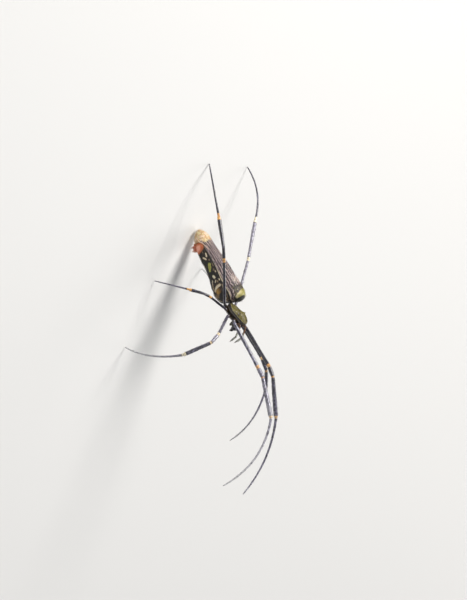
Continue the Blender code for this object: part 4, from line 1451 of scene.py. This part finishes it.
def makeSternum():
    low, high = sternum["profile"][0][0], sternum["profile"][-1][0]
    endShare = 0.1
    middle = (sternum["top"] + sternum["bottom"]) / 2
    tall = (sternum["top"] - sternum["bottom"]) / 2

    def sternumPlace(share, turn):
        place = np.interp(share, [endShare, 1 - endShare], [low, high])
        scale = np.minimum(1, np.minimum(share, 1 - share) / endShare)
        half = valueAt(sternum["profile"], place)
        angle = np.radians(turn)
        y = half * softened(np.cos(angle), 0.6) * scale
        z = middle + tall * softened(np.sin(angle), 0.6) * scale
        far = [np.hypot(place - spot, np.abs(y) - 1.45) for spot in sternum["knobs"]]
        knobs = sum(bell(gap / 0.3) for gap in far)
        z = np.where(z < middle, z + 0.12 - 0.12 * knobs * (z < middle - 0.8 * tall), z)
        return np.stack([place, y, z], 1)

    material, tree = newMaterial("sternum chitin")
    dark, light = (0.014, 0.009, 0.010), (0.05, 0.03, 0.022)
    cuticle = placeGroup(tree, cuticleGroup, Dark=dark, Light=light, Gloss=0.34)
    colour = mixNode(tree, "streak", cuticle["Color"], (0.42, 0.21, 0.035))
    finished(material, colour, cuticle["Roughness"], cuticle["Height"], 0.02)
    plate, _ = drawnBall("sternumPlate", 72, 60, sternumPlace)
    x, y, z = readPoints(plate).T
    below = stepBetween(-4.2, -4.6, z)
    streak = below * stepBetween(0.5, 0.3, np.abs(y)) * stepBetween(0.8, 2.0, x)
    setNumbers(plate, "streak", streak * stepBetween(7.0, 5.6, x))
    hair = coatOn(plate, "sternumHair", (-1.0, 0, 0), 9.0 * below, "sternum")
    settle(plate, headFrame, material, ["sternum"])
    settleHairs(hair, headFrame, darkHair)
    lip = bentLimb("lowerLip", headPoints(sternum["lipLine"], 1), limbShapes["lowerLip"])
    setNumbers(lip, "streak", everywhere(lip))
    settle(lip, headFrame, material)


def makeWaist():
    start = Vector((body["abdomenLength"] - 1.8, 0, 0))
    end = rearFrame.inverted() @ headFrame @ Vector((1.4, 0, -1.7))
    stalk = bentLimb("waistStalk", [start, start.lerp(end, 0.5), end], limbShapes["waistStalk"])
    dark = chitinMaterial("waist chitin", (0.016, 0.010, 0.008), (0.07, 0.045, 0.025), 0.4)
    settle(stalk, rearFrame, dark, ["pedicel"])


makeBodyWall()
makeSternum()
makeWaist()
print("sternum and waist made")


# Legs

legs = {
    "1": {"femur": 23.4, "patella": 5.0, "tibia": 18.6, "metatarsus": 33.0, "tarsus": 5.5, "girth": 1.0},
    "2": {"femur": 20.9, "patella": 5.6, "tibia": 13.8, "metatarsus": 29.0, "tarsus": 5.2, "girth": 0.88},
    "3": {"femur": 11.6, "patella": 3.4, "tibia": 7.0, "metatarsus": 14.0, "tarsus": 4.0, "girth": 0.7},
    "4": {"femur": 23.6, "patella": 6.0, "tibia": 14.8, "metatarsus": 24.2, "tarsus": 4.2, "girth": 0.84},
}
# where each coxa starts and each femur starts: along, up, side
coxaRoots = {"1": (7.3, -3.2, 2.1), "2": (5.2, -3.5, 2.2), "3": (3.2, -3.5, 2.2), "4": (1.35, -3.2, 1.9)}
hips = {"1": (9.2, -2.9, 6.0), "2": (5.5, -3.8, 6.3), "3": (2.2, -2.7, 6.4), "4": (0.2, -1.9, 6.1)}
# heading and rise of femur, patella, tibia and both ends of the metatarsus
pose = {
    "right_1": ((13, 52), (9, 51), (4, 37), (-10, 9), (-16, -18)),
    "left_1": ((-5, 58), (1, 47), (5, 29), (13, 7), (4, -8)),
    "right_2": ((-63, 18), (-39, 0), (-7, -42), (28, -63), (72, None)),
    "left_2": ((29, 50), (26, 38), (56, -3), (20, -5), (28, -27)),
    "right_3": ((-102, -27), (-93, -43), (-59, -72), (-42, -76), (59, None)),
    "left_3": ((118, -53), (131, -62), (146, -61), (130, -56), (102, None)),
    "right_4": ((-140, -8), (-143, -11), (-179, -35), (-174, -35), (142, None)),
    "left_4": ((167, -14), (160, -22), (156, -22), (164, -25), (163, None)),
}
legShape = {
    "coxa": ((0.0, 0.86), (0.35, 0.98), (0.6, 0.92), (0.68, 0.78), (0.85, 0.84), (1.0, 0.72)),
    "femur": ((0.0, 0.66), (0.12, 0.8), (0.4, 0.8), (0.75, 0.72), (0.93, 0.8), (1.0, 0.84)),
    "shin": ((0.0, 0.84), (0.1, 0.93), (0.2, 0.8), (0.27, 0.8), (0.6, 0.94), (0.93, 0.98), (1.0, 0.8)),
    "metatarsus": ((0.0, 0.66), (0.06, 0.62), (0.3, 0.52), (0.7, 0.42), (1.0, 0.38)),
    "tarsus": ((0.0, 0.35), (0.3, 0.34), (0.8, 0.28), (1.0, 0.2)),
    "sides": 12,
    "shrink": 0.955,  # what smoothing takes off a ring of that many sides
    "neck": 0.78,
    "clawRoom": 0.4,
    "rootDepth": 0.7,
    "standHeight": 0.02,
    "joints": ("hip", "knee", "patella", "wrist", "ankle"),
    "solids": ("coxa", "femur", "tibia", "metatarsus", "tarsus"),
    # where each leg's painted sheen values apply: joint, and how far past it
    "paintedSheenPlaces": (("hip", 0), ("knee", 0), ("knee", 1), ("wrist", -1), ("wrist", 2), ("tip", 0)),
}
# rings of yellow on each leg: which joint, from and to in mm from it, how pale; the paleness is painted
# light, cream where the leg is lit and orange where it is shaded
legBands = {
    "right_1": (("knee", -0.9, 0.5, 0.2), ("patella", -0.2, 0.4, 0.2), ("wrist", -0.7, 0.4, 0.6)),
    "left_1": (("knee", -1.0, 0.4, 0.15), ("patella", -0.2, 0.4, 0.1), ("wrist", -0.7, 0.3, 0.3)),
    "right_2": (("knee", -0.9, 0.6, 0.75), ("patella", -0.2, 0.5, 0.6), ("wrist", -1.3, 0.6, 0.9)),
    "left_2": (("knee", -1.0, 0.3, 0.35), ("patella", -0.2, 0.4, 0.2), ("wrist", -0.9, 0.4, 0.35)),
    "right_3": (("knee", -0.8, 0.5, 0.1), ("wrist", -1.3, 1.0, 0.1)),
    "left_3": (("knee", -0.8, 0.5, 0.4), ("wrist", -1.1, 0.9, 0.6)),
    "right_4": (("knee", -1.0, 1.1, 0.15), ("wrist", -1.7, 1.4, 0.1)),
    "left_4": (("knee", -0.9, 0.8, 0.9), ("wrist", -1.3, 1.5, 0.95)),
}
# how much painted sheen each leg has at the hip, knee, upper shin, lower shin, past the wrist and at the
# tip: a painted silvery highlight, strong on the lit legs and none on the shaded ones
legPaintedSheen = {
    "right_1": (0.35, 0.5, 0.5, 0.65, 0.6, 0.8),
    "left_1": (0.05, 0.05, 0.1, 0.4, 0.3, 0.65),
    "right_2": (0.3, 0.4, 0.4, 0.35, 0.6, 0.8),
    "left_2": (0.05, 0.1, 0.1, 0.2, 0.5, 0.8),
    "right_3": (0.0, 0.05, 0.1, 0.1, 0.35, 0.6),
    "left_3": (0.0, 0.1, 0.2, 0.35, 0.8, 0.9),
    "right_4": (0.0, 0.0, 0.0, 0.0, 0.1, 0.2),
    "left_4": (0.6, 0.6, 0.55, 0.55, 0.3, 0.3),
}


def rising(azimuth, elevation):
    flat = math.cos(math.radians(elevation))
    turn = math.radians(azimuth)
    return Vector((flat * math.cos(turn), flat * math.sin(turn), math.sin(math.radians(elevation))))


def arcThrough(start, middle, end, steps=40):
    first = (middle - start).length
    share = first / (first + (end - middle).length)
    bend = (middle - (1 - share) ** 2 * start - share**2 * end) / (2 * share * (1 - share))
    return curve(start, bend, end, steps)


def legLine(word, number):
    # the leg's middle line in mm, and how far along it each joint lies
    side = 1 if word == "left" else -1
    sizes = legs[number]
    toWorld = worldFrame.inverted() @ headFrame
    along, up, aside = coxaRoots[number]
    root = toWorld @ headPoints([(along, up, aside - legShape["rootDepth"])], side)[0]
    hip = toWorld @ headPoints([hips[number]], side)[0]
    half = sizes["metatarsus"] / 2
    joints = [hip]
    lengths = (sizes["femur"], sizes["patella"], sizes["tibia"], half, half + sizes["tarsus"])
    for length, (azimuth, elevation) in zip(lengths, pose[word + "_" + number]):
        if elevation is None:  # this foot stands on the floor
            elevation = -math.degrees(math.asin(joints[-1].z / length))
        joints.append(joints[-1] + length * rising(azimuth, elevation))
    arch = arcThrough(joints[3], joints[4], joints[5])
    corners = [root, *joints[:4], arch[1]]
    line, spots = smoothLine(corners, 0.9 * sizes["girth"] + 0.2)
    line = line[:-1] + arch[1:]
    reach = reaches(line)
    marks = dict(zip(("hip", "knee", "patella", "wrist"), (reach[k] for k in spots)))
    marks["ankle"] = marks["wrist"] + sizes["metatarsus"]
    marks["tip"] = reach[-1]
    dorsal = (joints[1] - joints[0]).normalized() - (joints[3] - joints[2]).normalized()
    return line, marks, dorsal, spots[1]


def legRadius(number, marks, places):
    girth = legs[number]["girth"]
    parts = (
        (0, marks["hip"], "coxa", girth**0.5),
        (marks["hip"], marks["knee"], "femur", girth),
        (marks["knee"], marks["wrist"], "shin", girth),
        (marks["wrist"], marks["ankle"], "metatarsus", girth),
        (marks["ankle"], marks["tip"], "tarsus", girth**0.5),
    )
    radius = np.zeros_like(places)
    for start, end, name, scale in parts:
        inside = (places >= start) & (places <= end)
        radius[inside] = valueAt(legShape[name], (places[inside] - start) / (end - start)) * scale
    return radius


def legStations(number, marks):
    # rings at even steps, closer at the joints, where the leg narrows to a neck
    end = marks["tip"] - legShape["clawRoom"]
    places = list(np.linspace(0, end, round(end / 1.7)))
    joints = [marks[name] for name in legShape["joints"]]
    collar = (-0.5, -0.3, -0.17, -0.07, 0.07, 0.17, 0.32, 0.55)
    for joint in joints:
        places = [place for place in places if abs(place - joint) > 0.8]
        places += [joint + step for step in collar]
    places = np.array(sorted(places))
    radius = legRadius(number, marks, places)
    for joint in joints:
        depth = 0.45 if joint == marks["patella"] else 1.0
        radius *= 1 - (1 - legShape["neck"]) * depth * bell((places - joint) / 0.13)
        radius *= 1 + 0.05 * depth * bell((places - joint + 0.32) / 0.16)
    radius /= legShape["shrink"]
    rounded = [(end + 0.06, radius[-1] * 0.7), (end + 0.1, radius[-1] * 0.35)]
    return [(place, size, size, 0) for place, size in [*zip(places, radius), *rounded]]


def legSkinMaterial():
    material, tree = newMaterial("leg chitin")
    dark, light = (0.005, 0.004, 0.008), (0.020, 0.018, 0.036)
    cuticle = placeGroup(tree, cuticleGroup, Dark=dark, Light=light, Gloss=0.27)
    cloud = noiseNode(tree, 1100, 3)
    # painted sheen: a mottled lavender to grey highlight painted into the chitin, as strong as the leg's
    # painted sheen value
    mottle = mathNode(tree, "SUBTRACT", cloud, 0.5)
    mottled = timesPlusNode(tree, mottle, 2.0, "silver")
    pale = fadeNode(tree, "silver", 0.45, 0.85, (0.26, 0.245, 0.34), (0.50, 0.50, 0.50))
    silver = fadeNode(tree, mottled, 0.05, 0.95, cuticle["Color"], pale)
    # yellow rings with ragged edges; the pale value paints them toward cream on the lit legs as a painted
    # highlight, and leaves them orange on the shaded ones
    ragged = noiseNode(tree, 2300, 2)
    band = timesPlusNode(tree, ragged, 0.5, mathNode(tree, "SUBTRACT", "band", 0.25))
    yellow = fadeNode(tree, cloud, 0.35, 0.68, (0.74, 0.36, 0.05), (0.50, 0.17, 0.02))
    cream = fadeNode(tree, cloud, 0.35, 0.68, (0.86, 0.82, 0.62), (0.70, 0.62, 0.40))
    colour = fadeNode(tree, band, -0.1, 0.12, silver, mixNode(tree, "pale", yellow, cream))
    # brown at the root and in the joints
    rootColour = fadeNode(tree, cloud, 0.42, 0.6, (0.014, 0.010, 0.009), (0.10, 0.062, 0.028))
    colour = fadeNode(tree, "reach", 4.6, 3.6, colour, rootColour)
    neck = timesNode(tree, spanNode(tree, "jointGap", 0.15, 0.05), 0.8)
    colour = mixNode(tree, neck, colour, (0.07, 0.04, 0.024))
    return finished(material, colour, cuticle["Roughness"], cuticle["Height"], 0.015, 0.7, 0.17)


def legHairMaterial():
    material, tree = newMaterial("leg hair")
    # hair in the rings: orange, painted toward cream where the leg is lit, as a painted highlight
    paintedLitBand = mixNode(tree, "pale", (0.55, 0.28, 0.05), (0.80, 0.74, 0.52))
    band = spanNode(tree, "band", -0.1, 0.12)
    # painted sheen on the hair: lavender grey roots, and whitish painted glints on more of the tips where
    # the leg's painted sheen is high
    rootColour = mixNode(tree, "silver", (0.007, 0.007, 0.010), (0.30, 0.28, 0.37))
    tipColour = mixNode(tree, "silver", (0.13, 0.13, 0.15), (0.74, 0.72, 0.80))
    chance = timesPlusNode(tree, "silver", 0.5, "chance")
    mask = timesNode(tree, "tip", spanNode(tree, chance, 0.6, 1.1))
    colour = mixNode(tree, mask, rootColour, tipColour)
    return finished(material, mixNode(tree, band, colour, paintedLitBand), 0.36)


def spineRoots(number, marks):
    # rows of stiff spines: joint before, joint after, turns round the leg, spacing
    rows = (
        ("hip", "knee", (20, 75, 140, 220, 285, 340), 3.6),
        ("knee", "patella", (0, 180), 2.6),
        ("patella", "wrist", (30, 95, 160, 200, 265, 330), 2.7),
        ("wrist", "ankle", (40, 130, 230, 320), 4.4),
    )
    rng = np.random.default_rng(seeds["spine"] + int(number))
    found = []
    for first, last, turns, spacing in rows:
        for turn in turns:
            place = marks[first] + spacing * rng.uniform(0.35, 0.9)
            while place < marks[last] - 0.6:
                found.append((place, turn + rng.uniform(-9, 9)))
                place += spacing * rng.uniform(0.75, 1.3)
    places, turns = np.array(found).T
    angle = np.radians(turns)
    radius = legRadius(number, marks, places)
    normals = np.stack([0 * angle, np.sin(angle), np.cos(angle)], 1)
    points = normals * radius[:, None] + np.stack([places, 0 * places, 0 * places], 1)
    maps = np.stack([turns / 360 % 1, places / marks["tip"]], 1)
    size = 0.75 + 0.5 * radius
    lies = np.tile([1.0, 0, 0], (len(points), 1))
    return {"points": points, "normals": normals, "lies": lies, "maps": maps, "size": size}


def makeClaws(name, line, dorsal, start, length, stands):
    # two claws and a small middle one: how far aside, size, and forward and up of each point
    hook = ((0, 0), (0.28, 0.06), (0.46, -0.03), (0.5, -0.16))
    shapes = (
        (0.16, 1.0, hook),
        (-0.16, 1.0, hook),
        (0.0, 0.7, ((0, -0.06), (0.2, -0.08), (0.34, -0.14), (0.36, -0.24))),
    )
    base = length - legShape["clawRoom"] - 0.06
    parts = []
    for aside, scale, rows in shapes:
        points = [
            Vector((base + forward * scale * 0.86, aside * (1 + forward), up * scale))
            for forward, up in rows
        ]
        parts.append(bentLimb(name, points, limbShapes["claw"]))
    claws = joined(parts, name)
    points = bendAlong(readPoints(claws), line, dorsal, start)
    if stands:
        lowest = legShape["standHeight"]
        lifted = lowest + 0.3 * np.abs(points[:, 2] - lowest)
        points[:, 2] = np.where(points[:, 2] < lowest, lifted, points[:, 2])
    writePoints(claws, points)
    return claws


def makeLeg(word, number):
    line, marks, dorsal, start = legLine(word, number)
    dorsal = np.array(dorsal)
    name = "leg" + word.title() + number
    stands = pose[word + "_" + number][-1][1] is None
    skin = extrudedLimb(name + "Skin", legStations(number, marks), legShape["sides"], 1)
    reach = readPoints(skin)[:, 0]
    joints = [marks[joint] for joint in legShape["joints"]]
    # each ring's paleness is painted light: cream where the leg is lit, orange where it is shaded
    band, pale = everywhere(skin, -3.0), everywhere(skin)
    for joint, low, high, paintedLitPaleness in legBands[word + "_" + number]:
        depth = (high - low) / 2 - np.abs(reach - marks[joint] - (low + high) / 2)
        pale = np.where(depth > band, paintedLitPaleness, pale)
        band = np.maximum(band, depth)
    # the painted sheen, a painted highlight, runs along the leg between these places
    places = [marks[joint] + beyond for joint, beyond in legShape["paintedSheenPlaces"]]
    numbers = {
        "reach": reach,
        "jointGap": np.min([np.abs(reach - joint) for joint in joints], axis=0),
        "band": band,
        "pale": pale,
        "silver": np.interp(reach, places, legPaintedSheen[word + "_" + number]),
    }
    for key, values in numbers.items():
        setNumbers(skin, key, values)
    wrapMap(skin, marks["tip"])

    # hair is thickest on the shins of the two front pairs and on the feet
    shin = stepBetween(marks["knee"] - 3, marks["knee"], reach)
    shin *= stepBetween(marks["wrist"] + 2, marks["wrist"], reach)
    foot = stepBetween(marks["wrist"], marks["ankle"], reach)
    front = 1.0 if number in "12" else 0.0
    density = 4.0 + 2.5 * front + (2.0 + 9.0 * front) * shin + 13.0 * foot
    size = 0.9 + (0.15 + 0.3 * front) * shin - 0.2 * foot
    pair = int(number)
    # the hair takes the ring, its painted lit paleness and the painted sheen from the skin
    shown = ("band", "pale", "silver")
    roots = rootsOn(skin, (1.0, 0, 0), density, seeds["leg"] + pair, size, shown)
    hair = plantHairs(name + "Hair", roots, "leg", seeds["legPlanted"] + pair)
    roots = spineRoots(number, marks)
    spines = plantHairs(name + "Spines", roots, "spine", seeds["spinePlanted"] + pair, 5, 3)
    claws = makeClaws(name + "Claws", line, dorsal, start, marks["tip"], stands)

    for piece in (skin, hair, spines):
        points = bendAlong(readPoints(piece), line, dorsal, start)
        points[:, 2] = np.maximum(points[:, 2], 0.0)
        writePoints(piece, points)
    solids = [f"leg_{word}_{number}_{part}" for part in legShape["solids"]]
    settle(skin, worldFrame, legChitin, solids, smoothAngle=80)
    settleHairs(hair, worldFrame, legCoat)
    settleHairs(spines, worldFrame, spineChitin)
    settle(claws, worldFrame, spineChitin)


legChitin = legSkinMaterial()
legCoat = legHairMaterial()
spineChitin = chitinMaterial("spine chitin", (0.006, 0.005, 0.006), (0.03, 0.02, 0.018), 0.25)
for number in legs:
    for word in ("left", "right"):
        makeLeg(word, number)
    print("legs of pair", number, "made")
